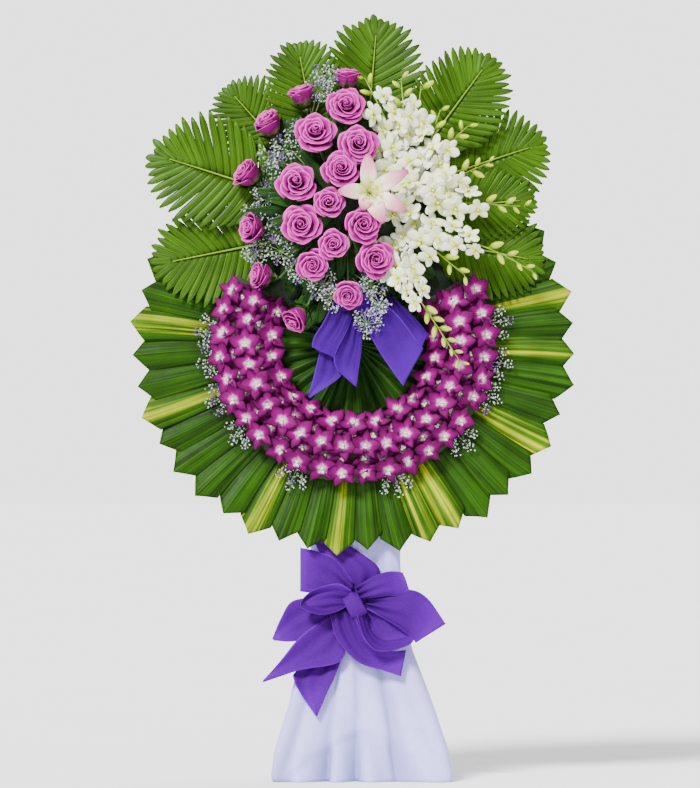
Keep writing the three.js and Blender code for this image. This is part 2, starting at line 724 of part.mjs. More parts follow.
// The lathe profile of each kind, as radius and height over the rose's radius. Odd rows from the second
// are petal rims, and the rest the valleys between the layers.
const OPEN_PROFILE = [
  [0, 0],
  [0.3, 0.02],
  [0.86, 0.5],
  [1, 0.78],
  [0.76, 0.66],
  [0.7, 0.96],
  [0.47, 0.78],
  [0.42, 1.06],
  [0.2, 0.86],
  [0, 1.04],
];
const CUP_PROFILE = [
  [0, 0],
  [0.5, 0.04],
  [0.9, 0.5],
  [0.98, 1.52],
  [0.84, 1.44],
  [0.7, 1.7],
  [0.54, 1.54],
  [0.4, 1.74],
  [0.22, 1.6],
  [0, 1.72],
];
const ROSE_SIDES = 10;
const CUP_SIDES = 8;

function roseHead({ r, open }) {
  const profile = open ? OPEN_PROFILE : CUP_PROFILE;
  const sides = open ? ROSE_SIDES : CUP_SIDES;
  const points = profile.map(([radius, height]) => new THREE.Vector2(radius * r, height * r));
  const shape = new THREE.LatheGeometry(points, sides);
  const places = shape.attributes.position;
  for (let i = 0; i < places.count; i++) {
    const row = i % profile.length;
    const column = Math.floor(i / profile.length) % sides;
    const layer = Math.floor(row / 2);
    const high = (column + layer) % 2 === 0;
    const rim = row >= 3 && row % 2 === 1 && row < profile.length - 1;
    const grow = row < 2 ? 1 : high ? 1.05 : 0.95;
    const [x, y, z] = [places.getX(i), places.getY(i), places.getZ(i)];
    places.setXYZ(i, x * grow, y + (rim ? (high ? 0.05 : -0.07) * r : 0), z * grow);
  }
  return solidOf(shape.rotateX(Math.PI / 2));
}

function roseHeight({ r, open }) {
  return r * (open ? 1.06 : 1.74);
}

// The middle of the head is on the dome, so its foot lies behind that along its own axis.
function roseFoot(rose) {
  const axis = facing(rose.turn, rose.lift);
  const middle = new V(rose.x, domeDepth(rose.x, rose.z), rose.z);
  return middle.addScaledVector(axis, -roseHeight(rose) * 0.5);
}

function rose(entry) {
  return placed(roseHead(entry), roseFoot(entry), facing(entry.turn, entry.lift), entry.x);
}

// Foam block, with one plain hole for the bundle of stems
const BUNDLE = { width: 70, height: 90, deep: 30 };

function foamBlock() {
  const depth = BOARD_FRONT - GAP - FOAM.front;
  const block = new THREE.BoxGeometry(FOAM.width, depth, FOAM.height);
  const hole = new THREE.BoxGeometry(BUNDLE.width, BUNDLE.deep * 2, BUNDLE.height);
  block.translate(FOAM.x, FOAM.front + depth / 2, FOAM.z);
  hole.translate(CORE.x, FOAM.front, CORE.z);
  return solidOf(block).subtract(solidOf(hole));
}

// Where a stem that ends behind the block's front passes over the block's edge.
const CLEAR_Y = FOAM.front - 4;
function overEdge(from, to) {
  const exit = (a, b, middle, half) => (middle + Math.sign(b - a) * half - a) / (b - a);
  const t = Math.min(
    exit(from.x, to.x, FOAM.x, FOAM.width / 2),
    exit(from.z, to.z, FOAM.z, FOAM.height / 2),
  );
  return from.clone().lerp(to, Math.min(0.9, t + 0.06)).setY(CLEAR_Y - 2);
}

// Stems, calyxes and filler leaves of the roses, grown from one bundle
function greenery() {
  const root = new V(CORE.x, FOAM.front - 12, CORE.z);
  const bundle = new THREE.BoxGeometry(
    BUNDLE.width - 2 * GAP,
    BUNDLE.deep + 10,
    BUNDLE.height - 2 * GAP,
  );
  bundle.translate(CORE.x, FOAM.front + (BUNDLE.deep - 10) / 2 - GAP, CORE.z);
  const mound = new THREE.SphereGeometry(1, 8, 6);
  mound.scale(CORE.halfWidth, FOAM.front - CORE.front, CORE.halfHeight);
  mound.translate(CORE.x, FOAM.front - 1, CORE.z);
  const behind = new THREE.BoxGeometry(600, 100, 600);
  behind.translate(CORE.x, FOAM.front - GAP + 50, CORE.z);
  const parts = [solidOf(bundle), solidOf(mound).subtract(solidOf(behind))];
  for (const entry of ROSES) {
    const axis = facing(entry.turn, entry.lift);
    const foot = roseFoot(entry).addScaledVector(axis, -GAP - 0.4);
    const low = foot.clone().addScaledVector(axis, -entry.r * 0.4);
    const points = low.y > CLEAR_Y ? [root, overEdge(root, low), low, foot] : [root, low, foot];
    const radii = points.map((_, i) => (i + 1 < points.length ? 2.4 : entry.r * 0.34));
    parts.push(taper(points, radii));
  }
  return parts;
}

// A filler leaf: a pointed blade with a raised rib.
function fillerLeaf(foot, end, half, lift) {
  const run = end.clone().sub(foot);
  const side = run.clone().cross(new V(0, 1, 0)).normalize();
  const at = (t, q, y) => foot.clone().addScaledVector(run, t).addScaledVector(side, q * half).add(new V(0, y, 0));
  const front = [at(0, 0, -1), at(0.5, -1, 0), at(1, 0, 0), at(0.5, 1, 0), at(0.5, 0, -lift - 0.8)];
  const back = [at(0, 0, 1), at(0.5, -1, 0), at(1, 0, 0), at(0.5, 1, 0), at(0.5, 0, -lift + 0.8)];
  const faces = [
    [4, 0, 1],
    [4, 1, 2],
    [4, 2, 3],
    [4, 3, 0],
  ];
  return sheet(front, back, faces);
}

function fillerLeaves() {
  const leaves = [];
  const count = 20;
  for (let i = 0; i < count; i++) {
    const angle = ((i + 0.5) / count) * TAU;
    const [c, s] = [Math.cos(angle), Math.sin(angle)];
    const foot = new V(CORE.x + 92 * c, FOAM.front - 8, CORE.z + 66 * s);
    const reach = c > 0.3 ? 1.18 : 1.9 + 0.35 * Math.sin(i * 2.7);
    const end = new V(CORE.x + 92 * c * reach, FOAM.front + 6 - draw(0, 14), CORE.z + 66 * s * reach * 1.15);
    leaves.push(fillerLeaf(foot, end, 11, 3));
  }
  return leaves;
}

// The lily: six tepals that roll back, in two whorls
const LILY = { x: 34, z: 1166, y: -172 };
const LILY_TEPALS = [
  [92, 76, 15],
  [28, 88, 12],
  [332, 84, 13],
  [294, 70, 15],
  [250, 40, 12],
  [180, 62, 13],
];

function lily() {
  const centre = new V(LILY.x, LILY.y, LILY.z);
  const parts = LILY_TEPALS.map(([degrees, length, half], k) => {
    const out = facing(degrees, 0);
    const side = facing(degrees + 90, 0);
    const at = (t, q, y) =>
      centre.clone().addScaledVector(out, length * t).addScaledVector(side, half * q).add(new V(0, y, 0));
    const raise = k % 2 ? 0 : -2;
    const rows = [
      [0, 0.14, 22],
      [0.3, 0.8, 4 + raise],
      [0.62, 1, -6 + raise],
      [0.86, 0.6, -2 + raise],
    ];
    const [front, back, faces] = [[], [], []];
    rows.forEach(([t, q, y], i) => {
      for (const [share, lift] of [
        [-1, 0],
        [0, 3],
        [1, 0],
      ]) {
        const edge = share !== 0 && i > 0;
        const p = at(t, q * share, y + lift);
        front.push(p.clone().add(new V(0, edge ? 0 : -0.8, 0)));
        back.push(p.clone().add(new V(0, edge ? 0 : 0.8, 0)));
      }
      if (!i) return;
      const [a, b] = [(i - 1) * 3, i * 3];
      faces.push([a, b, b + 1], [a, b + 1, a + 1], [a + 1, b + 1, b + 2], [a + 1, b + 2, a + 2]);
    });
    front.push(at(1, 0, 6));
    back.push(at(1, 0, 6));
    faces.push([9, 12, 10], [10, 12, 11]);
    return sheet(front, back, faces);
  });
  const throat = centre.clone().add(new V(0, 24, 0));
  parts.push(bud(throat, new V(0, 1, 0), 22, 9));
  for (let i = 0; i < 4; i++) {
    const end = centre.clone().add(facing(i * 90 + 20, 0).multiplyScalar(18)).add(new V(0, -18, 0));
    parts.push(taper([throat, end], [1.2, 1.2]), bud(end, facing(i * 90 + 110, 0), 12, 2.6));
  }
  const seat = new V(LILY.x, CORE.front + 3, LILY.z);
  parts.push(taper([throat, seat], [3.5, 3.5]));
  return join(parts);
}

// Sprays of white orchids. Each has stems given as stations in the leaning plane (x, depth, z), with open
// blooms along the inner part and buds towards the tip.
const WHITE_PETALS = [
  [14, 1, 0.44],
  [90, 1, 0.3],
  [166, 1, 0.44],
  [230, 0.96, 0.3],
  [310, 0.96, 0.3],
];
const SPRAYS = [
  {
    name: "top",
    hub: [100, -80, 1240],
    stems: [
      { way: [[96, -96, 1262], [74, -114, 1306], [46, -108, 1364], [22, -92, 1414]], blooms: 4, buds: 2 },
      { way: [[102, -98, 1270], [104, -126, 1320], [98, -98, 1410]], blooms: 3, buds: 2 },
      { way: [[112, -88, 1262], [128, -104, 1310], [140, -94, 1400]], blooms: 2, buds: 1 },
    ],
  },
  {
    name: "upper_right",
    hub: [134, -78, 1212],
    stems: [
      { way: [[140, -100, 1240], [156, -112, 1276], [180, -92, 1350]], blooms: 2, buds: 2 },
      { way: [[150, -96, 1226], [180, -116, 1258], [238, -92, 1314]], blooms: 3, buds: 2 },
    ],
  },
  {
    name: "right",
    hub: [134, -74, 1170],
    stems: [
      { way: [[146, -112, 1180], [186, -120, 1194], [284, -98, 1238]], blooms: 4, buds: 3 },
      { way: [[156, -110, 1160], [206, -116, 1152], [352, -92, 1146]], blooms: 4, buds: 3 },
    ],
  },
  {
    name: "lower_right",
    hub: [134, -68, 1110],
    stems: [
      { way: [[150, -104, 1102], [200, -118, 1084], [290, -112, 1052], [372, -98, 1008]], blooms: 4, buds: 4 },
      { way: [[146, -108, 1084], [164, -120, 1056], [232, -110, 1000]], blooms: 3, buds: 2 },
    ],
  },
  {
    name: "hanging",
    hub: [104, -66, 1042],
    stems: [
      { way: [[98, -110, 1030], [110, -130, 992], [150, -132, 930], [222, -112, 822]], blooms: 5, buds: 7 },
    ],
  },
];
const WHITE_R = 30;

// The stub that stands in the foam block, from the point where the stems meet.
function stub(hub, radius) {
  const start = new V(...hub);
  const block = new THREE.Box3(
    new V(FOAM.x - FOAM.width / 2 + 6, FOAM.front + 6, FOAM.z - FOAM.height / 2 + 6),
    new V(FOAM.x + FOAM.width / 2 - 6, BOARD_FRONT - 6, FOAM.z + FOAM.height / 2 - 6),
  );
  const foot = block.clampPoint(start, new V());
  return taper([foot, start.clone().lerp(foot, -0.15)], [radius, radius]);
}

function spray({ hub, stems }) {
  const start = new V(...hub);
  const parts = [stub(hub, 3.2)];
  for (const { way, blooms, buds } of stems) {
    const points = new THREE.CatmullRomCurve3(way.map((p) => new V(...p))).getSpacedPoints(4);
    parts.push(taper([start, ...points], [3, 2.4, 2.2, 2, 1.8, 1.4]));
    const path = new THREE.CurvePath();
    points.slice(1).forEach((point, i) => path.add(new THREE.LineCurve3(points[i], point)));
    const total = blooms + buds;
    for (let i = 0; i < total; i++) {
      const share = 0.04 + (0.95 * (i + 0.5)) / total;
      const at = path.getPointAt(share);
      const tangent = path.getTangentAt(share);
      const side = tangent.clone().cross(new V(0, -1, 0)).normalize();
      const lean = (i % 2 ? 1 : -1) * 0.9;
      if (i < blooms) {
        const axis = new V(0, -1, 0).addScaledVector(side, lean).addScaledVector(tangent, 0.15).normalize();
        const neck = i % 2 ? 28 : 18;
        const place = at.clone().addScaledVector(axis, neck - 1);
        const size = WHITE_R * (1.1 - (0.3 * i) / blooms);
        parts.push(placed(bloom(size, WHITE_PETALS, 0.12, neck), place, axis, draw(-0.7, 0.7)));
      } else {
        const axis = tangent.clone().addScaledVector(side, lean).add(new V(0, -0.4, 0)).normalize();
        const size = 1 - (0.5 * (i - blooms)) / Math.max(1, buds);
        parts.push(bud(at.clone().addScaledVector(axis, 9 * size), axis, 30 * size, 6.5 * size));
      }
    }
  }
  return join(parts);
}

// Statice: thin branches from a hub, each with a head of florets
const STATICE = {
  upper: {
    hub: [-112, -66, 1224],
    heads: [
      [-50, -84, 1406],
      [-68, -86, 1384],
      [-134, -84, 1262],
      [-160, -84, 1246],
      [-172, -76, 1170],
      [-150, -82, 1206],
    ],
  },
  lower: {
    hub: [-34, -64, 1042],
    heads: [
      [-196, -84, 1052],
      [-144, -88, 1058],
      [-58, -108, 986],
      [-44, -106, 962],
      [36, -118, 984],
      [56, -124, 942],
      [30, -116, 906],
    ],
  },
};

// A spiked floret head: an octahedron with each face drawn out to a point.
function floretHead(position, radius, turn) {
  const core = new THREE.OctahedronGeometry(radius * 0.5).attributes.position;
  const corners = Array.from({ length: core.count }, (_, i) => new V().fromBufferAttribute(core, i));
  const points = [];
  const triangles = [];
  for (let i = 0; i < corners.length; i += 3) {
    const [a, b, c] = corners.slice(i, i + 3);
    const spike = a.clone().add(b).add(c).normalize().multiplyScalar(radius);
    const first = points.push(a, b, c, spike) - 4;
    triangles.push([first, first + 1, first + 3], [first + 1, first + 2, first + 3], [first + 2, first, first + 3]);
  }
  const geometry = fromTriangles(points, triangles);
  return solidOf(geometry.rotateZ(turn).rotateX(turn * 2).translate(...position.toArray()));
}

function statice({ hub, heads }) {
  const start = new V(...hub);
  const parts = [stub(hub, 2.4)];
  heads.forEach((place, k) => {
    const end = new V(...place);
    parts.push(taper([start, end], [1.6, 1.6]), floretHead(end, 19, k * 1.3));
  });
  return join(parts);
}

// The bow below the roses, wired to a pick that stands in the foam block's underside
const UPPER_KNOT = new V(2, -100, 950);

function upperBow() {
  const pick = new THREE.CylinderGeometry(3, 3, FOAM.z - FOAM.height / 2 - GAP - UPPER_KNOT.z, 5);
  pick.rotateX(Math.PI / 2).translate(0, 0, (FOAM.z - FOAM.height / 2 - GAP - UPPER_KNOT.z) / 2);
  const foot = new V(UPPER_KNOT.x, UPPER_KNOT.y + 20, UPPER_KNOT.z);
  const knot = new THREE.SphereGeometry(1, 8, 5).scale(24, 24, 17);
  knot.translate(...UPPER_KNOT.toArray());
  return join([
    solidOf(pick.translate(...foot.toArray())),
    solidOf(knot),
    bowLoop(UPPER_KNOT, 232, 108, 36, 26),
    bowLoop(UPPER_KNOT, 318, 150, 32, 26),
    bowTail(UPPER_KNOT.clone().add(new V(0, 12, 0)), new V(-62, -66, 790), 34, 8),
    bowTail(UPPER_KNOT.clone().add(new V(0, 4, 0)), new V(-10, -78, 806), 28, 12),
    bowTail(UPPER_KNOT.clone().add(new V(0, 4, 0)), new V(106, -70, 812), 34, 12),
  ]);
}

// The large bow on the skirt, in the floor's frame. Turns and lengths follow the real one's loops.
const LOWER_KNOT_Z = 362;
const LOWER_LOOPS = [
  [158, 98, 30, 62],
  [200, 164, 38, 46],
  [32, 96, 28, 52],
  [350, 166, 44, 44],
  [296, 120, 42, 70],
];
const LOWER_TAILS = [
  [-92, -80, 456, 38, 0],
  [-34, -80, 476, 44, 0],
  [-166, -134, 212, 34, 16],
  [-74, -150, 146, 40, 16],
];

function lowerBow() {
  const seat = skirtLine(SKIRT_LEVELS[4], 0).reduce((low, p) => Math.min(low, p.y), 1e9);
  const knot = new V(6, seat - 17, LOWER_KNOT_Z);
  const body = new THREE.SphereGeometry(1, 10, 6).scale(26, 20, 22).translate(knot.x, knot.y, knot.z);
  const parts = [solidOf(body)];
  for (const [turn, reach, width, depth] of LOWER_LOOPS)
    parts.push(bowLoop(knot, turn, reach, width, depth));
  for (const [x, y, z, width, wave] of LOWER_TAILS)
    parts.push(bowTail(knot, new V(x, y, z), width, wave));
  return join(parts);
}

// Colours and finishes
const looks = {
  bamboo: { color: 0xb9a06a, roughness: 0.55 },
  wood: { color: 0xa98a5c, roughness: 0.7 },
  board: { color: 0xf0efe8, roughness: 0.8 },
  moss: { color: 0x3b4a22, roughness: 0.95 },
  foam: { color: 0x3f6b3a, roughness: 0.95 },
  leaf: { color: 0x2f6a1c, roughness: 0.4 },
  lining: { color: 0x1f4a14, roughness: 0.5 },
  palm: { color: 0x4c8a1e, roughness: 0.45 },
  stems: { color: 0x2c5220, roughness: 0.6 },
  orchid: { color: 0xb30a8c, roughness: 0.5 },
  rose: { color: 0xd15cae, roughness: 0.5 },
  white: { color: 0xf4f4e6, roughness: 0.5 },
  lily: { color: 0xf7e6ea, roughness: 0.5 },
  statice: { color: 0xb9a6d6, roughness: 0.8 },
  ribbon: { color: 0x5a1ec2, roughness: 0.6 },
  cloth: { color: 0xe9e8f6, roughness: 0.85 },
};
const materials = Object.fromEntries(
  Object.entries(looks).map(([name, look]) => [
    name,
    new THREE.MeshStandardMaterial({ metalness: 0, side: THREE.DoubleSide, ...look }),
  ]),
);

// Every piece, in the order in which later pieces are cut back from earlier ones
const easel = [];
const leaning = [];
function addTo(list, name, look, solid) {
  list.push({ name, look, solid: list.reduce((rest, other) => clearOf(rest, other.solid), solid) });
}
const addEasel = (name, look, solid) => addTo(easel, name, look, solid);
const addLeaning = (name, look, solid) => addTo(leaning, name, look, solid);

addEasel("leg_left", "bamboo", frontLeg(-1));
addEasel("leg_right", "bamboo", frontLeg(1));
addEasel("leg_rear", "bamboo", rearLeg());
addEasel("slat_high", "wood", slat(110, 34, HIGH_SLAT_Z));
addEasel("slat_low", "wood", slat(186, 24, LOW_SLAT_Z));
addEasel("spreader", "wood", spreader());
addEasel("skirt", "cloth", skirt());
addEasel("lower_bow", "ribbon", lowerBow());

const boardTurned = new THREE.CylinderGeometry(BOARD_R, BOARD_R, BOARD_BACK - BOARD_FRONT, 40);
boardTurned.translate(0, (BOARD_BACK + BOARD_FRONT) / 2, 0).translate(RING_X, 0, RING_Z);
addLeaning("board", "board", solidOf(boardTurned));
addLeaning("foam_block", "foam", foamBlock());
addLeaning("lining", "lining", lining());
addLeaning("moss_roll", "moss", join([roll(), ...SPRIGS.map(sprig)]));

const LEAF_QUARTERS = [8, 7, 7, 8];
let firstLeaf = 0;
LEAF_QUARTERS.forEach((count, i) => {
  addLeaning(`leaf_ring_${i + 1}`, "leaf", leafSector(firstLeaf, count));
  firstLeaf += count;
});
const places = orchidPlaces();
for (let i = 0; i < ORCHID_ARCS; i++) addLeaning(`orchid_arc_${i + 1}`, "orchid", orchidArc(i, places));
ROSES.forEach((entry, i) => addLeaning(`rose_${String(i + 1).padStart(2, "0")}`, "rose", rose(entry)));
addLeaning("lily", "lily", lily());
addLeaning("greenery", "stems", join([...greenery(), ...fillerLeaves()]));
for (const entry of SPRAYS) addLeaning(`white_spray_${entry.name}`, "white", spray(entry));
addLeaning("upper_bow", "ribbon", upperBow());
addLeaning("statice_upper", "statice", statice(STATICE.upper));
addLeaning("statice_lower", "statice", statice(STATICE.lower));
for (const entry of FRONDS) addLeaning(`palm_frond_${entry.name}`, "palm", frond(entry));

function meshOf({ name, look, solid }) {
  const { numProp, vertProperties, triVerts } = solid.getMesh();
  const geometry = new THREE.BufferGeometry();
  const places = new Float32Array((vertProperties.length / numProp) * 3);
  for (let i = 0; i < places.length / 3; i++)
    places.set(vertProperties.subarray(i * numProp, i * numProp + 3), i * 3);
  geometry.setAttribute("position", new THREE.BufferAttribute(places, 3));
  geometry.setIndex(new THREE.BufferAttribute(triVerts, 1));
  const mesh = new THREE.Mesh(geometry, materials[look]);
  mesh.name = name;
  return mesh;
}

const standGroup = new THREE.Group();
standGroup.add(...easel.map(meshOf));
const wreathGroup = new THREE.Group();
wreathGroup.rotation.x = -LEAN;
wreathGroup.position.y = FRONT_FEET_Y;
wreathGroup.add(...leaning.map(meshOf));
const wreath = new THREE.Group();
wreath.add(standGroup, wreathGroup);
const box = new THREE.Box3().setFromObject(wreath, true);
wreath.position.set(-(box.min.x + box.max.x) / 2, -(box.min.y + box.max.y) / 2, -box.min.z);

export default wreath;
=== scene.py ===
"""Dresses a standing funeral wreath: leaves, flowers, palm fronds, ribbon bows and a cloth skirt."""

import math

import bpy
import numpy as np
from mathutils import Matrix, Vector


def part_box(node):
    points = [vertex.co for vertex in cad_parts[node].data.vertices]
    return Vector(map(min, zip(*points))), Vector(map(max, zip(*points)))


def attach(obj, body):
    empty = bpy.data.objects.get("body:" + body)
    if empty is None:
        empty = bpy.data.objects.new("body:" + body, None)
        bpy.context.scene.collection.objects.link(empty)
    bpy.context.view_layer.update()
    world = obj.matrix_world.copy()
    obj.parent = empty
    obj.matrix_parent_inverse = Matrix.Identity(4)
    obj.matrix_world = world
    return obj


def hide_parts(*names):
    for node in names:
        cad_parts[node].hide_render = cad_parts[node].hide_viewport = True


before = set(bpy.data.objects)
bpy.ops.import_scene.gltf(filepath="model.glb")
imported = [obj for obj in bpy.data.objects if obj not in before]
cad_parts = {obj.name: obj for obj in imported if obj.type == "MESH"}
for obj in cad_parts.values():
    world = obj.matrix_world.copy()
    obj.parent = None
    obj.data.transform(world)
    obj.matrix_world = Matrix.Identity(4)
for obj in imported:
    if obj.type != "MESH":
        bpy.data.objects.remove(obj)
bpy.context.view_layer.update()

bl_info = {
    "name": "Funeral Wreath",
    "version": (1, 0, 0),
    "blender": (4, 5, 0),
    "location": "3D View > Sidebar > Wreath",
    "description": "Models and finishes the pieces of a standing funeral wreath",
    "category": "Object",
}

MM = 0.001
LEAN = math.radians(6)
# The leaning plane's foot line in the row frame, in millimetres
PLANE_X = -0.43
PLANE_Y = -135.1
TO_ROW = Matrix.Translation(Vector((PLANE_X, PLANE_Y, 0)) * MM) @ Matrix.Rotation(-LEAN, 4, "X")
# The ring's centre in the leaning plane, its lowest point and the board's face
RING_X = 3
RING_Z = 878
RING_MIDDLE = math.radians(270)
BOARD_FRONT = -18
# The least distance between the board and what lies on it
GAP = 0.3
GOLDEN_TURN = math.radians(137.5)


# Points, curves and meshes


def plane_matrix(position, axis, spin=0.0, size=1.0):
    """Stands a flower that faces its own +Z at a place in the leaning plane, in millimetres."""
    turn = Vector((0, 0, 1)).rotation_difference(Vector(axis).normalized()).to_matrix().to_4x4()
    return Matrix.Translation(Vector(position)) @ turn @ Matrix.Rotation(spin, 4, "Z") @ Matrix.Scale(size, 4)


def on_ring(angle, radius, depth):
    """Places round the ring's centre, for single numbers or for arrays of them."""
    x, z = RING_X + radius * np.cos(angle), RING_Z + radius * np.sin(angle)
    return np.stack(np.broadcast_arrays(x, depth, z), axis=-1)


def unit(vector):
    return vector / np.linalg.norm(vector)


def facing(turn, lift):
    """A direction in the leaning plane's frame, from its turn and its lift to the front in degrees."""
    t, l = math.radians(turn), math.radians(lift)
    return np.array([math.cos(t) * math.cos(l), -math.sin(l), math.sin(t) * math.cos(l)])


def smooth(points, count):
    """Places along a smooth curve through the points."""
    p = np.asarray(points, float)
    p = np.vstack([2 * p[0] - p[1], p, 2 * p[-1] - p[-2]])
    t = np.linspace(0, len(points) - 1, count)
    i = np.minimum(t.astype(int), len(points) - 2)
    f = (t - i)[:, None]
    a, b, c, d = p[i], p[i + 1], p[i + 2], p[i + 3]
    return b + 0.5 * f * (c - a + f * (2 * a - 5 * b + 4 * c - d + f * (3 * b - a - 3 * c + d)))


def lattice(across, along):
    """The places of a sheet's points: u from -1 to 1 across, v from 0 to 1 along."""
    v, u = np.meshgrid(np.linspace(0, 1, along + 1), np.linspace(-1, 1, across + 1), indexing="ij")
    return u, v


def moved(points, matrix):
    """The points after a matrix has placed them."""
    m = np.array(matrix)
    return points @ m[:3, :3].T + m[:3, 3]


def lengths_along(path):
    """How far along a line each of its points lies."""
    return np.concatenate([[0], np.cumsum(np.linalg.norm(np.diff(path, axis=0), axis=1))])


def area_of(points):
    """The area of a sheet, from its rows of points."""
    down = np.linalg.norm(np.diff(points, axis=0), axis=2)[:, :-1]
    side = np.linalg.norm(np.diff(points, axis=1), axis=2)[:-1]
    return (down * side).sum()


def normals_of(points):
    """The direction that a sheet faces at each of its points."""
    down = np.gradient(points, axis=0)
    side = np.gradient(points, axis=1)
    normal = np.cross(side, down)
    return normal / (np.linalg.norm(normal, axis=2, keepdims=True) + 1e-12)


class Sheets:
    """Gathers the closed thin sheets, tubes and small repeats of one piece, in millimetres."""

    def __init__(self):
        self.points = []
        self.marks = []
        self.faces = []
        self.finishes = []
        self.count = 0

    def add(self, points, marks, faces, finish):
        self.points.append(points)
        self.marks.append(marks)
        self.faces.extend((np.asarray(face) + self.count).tolist() for face in faces)
        self.finishes.extend([finish] * len(faces))
        self.count += len(points)

    def sheet(self, points, u, v, tone=0.5, finish=0, thick=0.5):
        """A curved sheet with a wall round its rim. Its front is the side that across x along points to."""
        rows, columns = u.shape
        back = points - normals_of(points) * thick
        marks = np.stack([u, v, np.broadcast_to(tone, u.shape)], axis=2).reshape(-1, 3)
        index = np.arange(rows * columns).reshape(rows, columns)
        a, b = index[:-1, :-1].ravel(), index[:-1, 1:].ravel()
        c, d = index[1:, 1:].ravel(), index[1:, :-1].ravel()
        front = np.stack([a, b, c, d], axis=1)
        rim = np.concatenate([index[0, :], index[1:, -1], index[-1, -2::-1], index[-2:0:-1, 0]])
        after = np.roll(rim, -1)
        n = rows * columns
        wall = np.stack([after, rim, rim + n, after + n], axis=1)
        faces = [*front, *(front[:, ::-1] + n), *wall]
        both = np.vstack([points.reshape(-1, 3), back.reshape(-1, 3)])
        self.add(both, np.vstack([marks, marks]), faces, finish)

    def tube(self, path, radii, sides=6, tone=0.5, finish=0):
        """A round stalk along a path, closed at both ends."""
        path = np.asarray(path, float)
        radii = np.broadcast_to(np.asarray(radii, float), len(path))
        along = np.gradient(path, axis=0)
        along /= np.linalg.norm(along, axis=1, keepdims=True)
        side = np.cross(along[0], [0.3, 1, 0.2] if abs(along[0][1]) < 0.9 else [1, 0, 0])
        angles = np.arange(sides) * math.tau / sides
        rings = []
        for place, way, radius in zip(path, along, radii):
            side = unit(side - way * side.dot(way))
            up = np.cross(way, side)
            rings.append(place + radius * (np.cos(angles)[:, None] * side + np.sin(angles)[:, None] * up))
        points = np.vstack(rings)
        v = np.repeat(np.linspace(0, 1, len(path)), sides)
        marks = np.stack([np.tile(angles / math.pi - 1, len(path)), v, np.full(len(v), tone)], axis=1)
        faces = []
        for r in range(len(path) - 1):
            for i in range(sides):
                a, b = r * sides + i, r * sides + (i + 1) % sides
                faces.append([a, b, b + sides, a + sides])
        last = (len(path) - 1) * sides
        faces += [list(range(sides))[::-1], list(range(last, last + sides))]
        self.add(points, marks, faces, finish)

    def copy(self, shape, matrix, tone=0.5, finish=0):
        """A copy of a small shape that was modelled once."""
        points, faces = shape
        low, high = points[:, 2].min(), points[:, 2].max()
        v = (points[:, 2] - low) / max(1e-9, high - low)
        u = np.arctan2(points[:, 1], points[:, 0]) / math.pi
        marks = np.stack([u, v, np.full(len(v), tone)], axis=1)
        self.add(moved(points, matrix), marks, faces, finish)

    def piece(self, name, materials, slot, nodes, matrix=TO_ROW):
        """Makes the object, which rides on the root body and stands for the named nodes."""
        points = moved(np.vstack(self.points) * MM, matrix)
        mesh = bpy.data.meshes.new(name)
        mesh.from_pydata(points.tolist(), [], self.faces)
        place = mesh.attributes.new("place", "FLOAT_VECTOR", "POINT")
        place.data.foreach_set("vector", np.vstack(self.marks).ravel())
        for material in materials:
            mesh.materials.append(material)
        mesh.polygons.foreach_set("material_index", self.finishes)
        mesh.polygons.foreach_set("use_smooth", [True] * len(mesh.polygons))
        mesh.validate()
        mesh.update()
        obj = bpy.data.objects.new(name, mesh)
        bpy.context.collection.objects.link(obj)
        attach(obj, "root")
        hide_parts(*nodes)
        return obj


def modelled_unit(shape):
    """Models a small shape with the mesh operators and returns its points and faces."""
    bpy.ops.object.select_all(action="DESELECT")
    shape()
    obj = bpy.context.active_object
    if obj.mode == "EDIT":
        bpy.ops.object.mode_set(mode="OBJECT")
    points = np.array([v.co[:] for v in obj.data.vertices])
    faces = [list(p.vertices) for p in obj.data.polygons]
    bpy.data.objects.remove(obj)
    return points, faces


def select_points(obj, test):
    """Selects in edit mode the points whose place passes a test."""
    bpy.ops.mesh.select_all(action="DESELECT")
    bpy.ops.object.mode_set(mode="OBJECT")
    for point in obj.data.vertices:
        point.select = test(point.co)
    bpy.ops.object.mode_set(mode="EDIT")


def bud_unit():
    """A flower bud: a sphere drawn out to a blunt tip, with a narrow foot."""
    bpy.ops.mesh.primitive_uv_sphere_add(segments=7, ring_count=6, radius=1)
    bud = bpy.context.active_object
    bpy.ops.object.mode_set(mode="EDIT")
    bpy.ops.transform.resize(value=(0.48, 0.48, 1))
    select_points(bud, lambda place: place.z > 0.6)
    bpy.ops.transform.resize(value=(0.75, 0.75, 1))
    bpy.ops.transform.translate(value=(0, 0, 0.12))
    select_points(bud, lambda place: place.z < -0.6)
    bpy.ops.transform.resize(value=(0.6, 0.6, 1))


def floret_unit():
    """A tiny trumpet floret with five lobes, opening along +Z."""
    bpy.ops.mesh.primitive_cone_add(vertices=5, radius1=0.18, radius2=0.62, depth=1.1, end_fill_type="NGON")
    floret = bpy.context.active_object
    bpy.ops.object.mode_set(mode="EDIT")
    select_points(floret, lambda place: place.z > 0.4)
    bpy.ops.mesh.extrude_region_move()
    bpy.ops.transform.resize(value=(1.6, 1.6, 1))
    bpy.ops.transform.translate(value=(0, 0, 0.16))
    bpy.ops.mesh.select_all(action="SELECT")
    bpy.ops.mesh.normals_make_consistent(inside=False)


# Materials


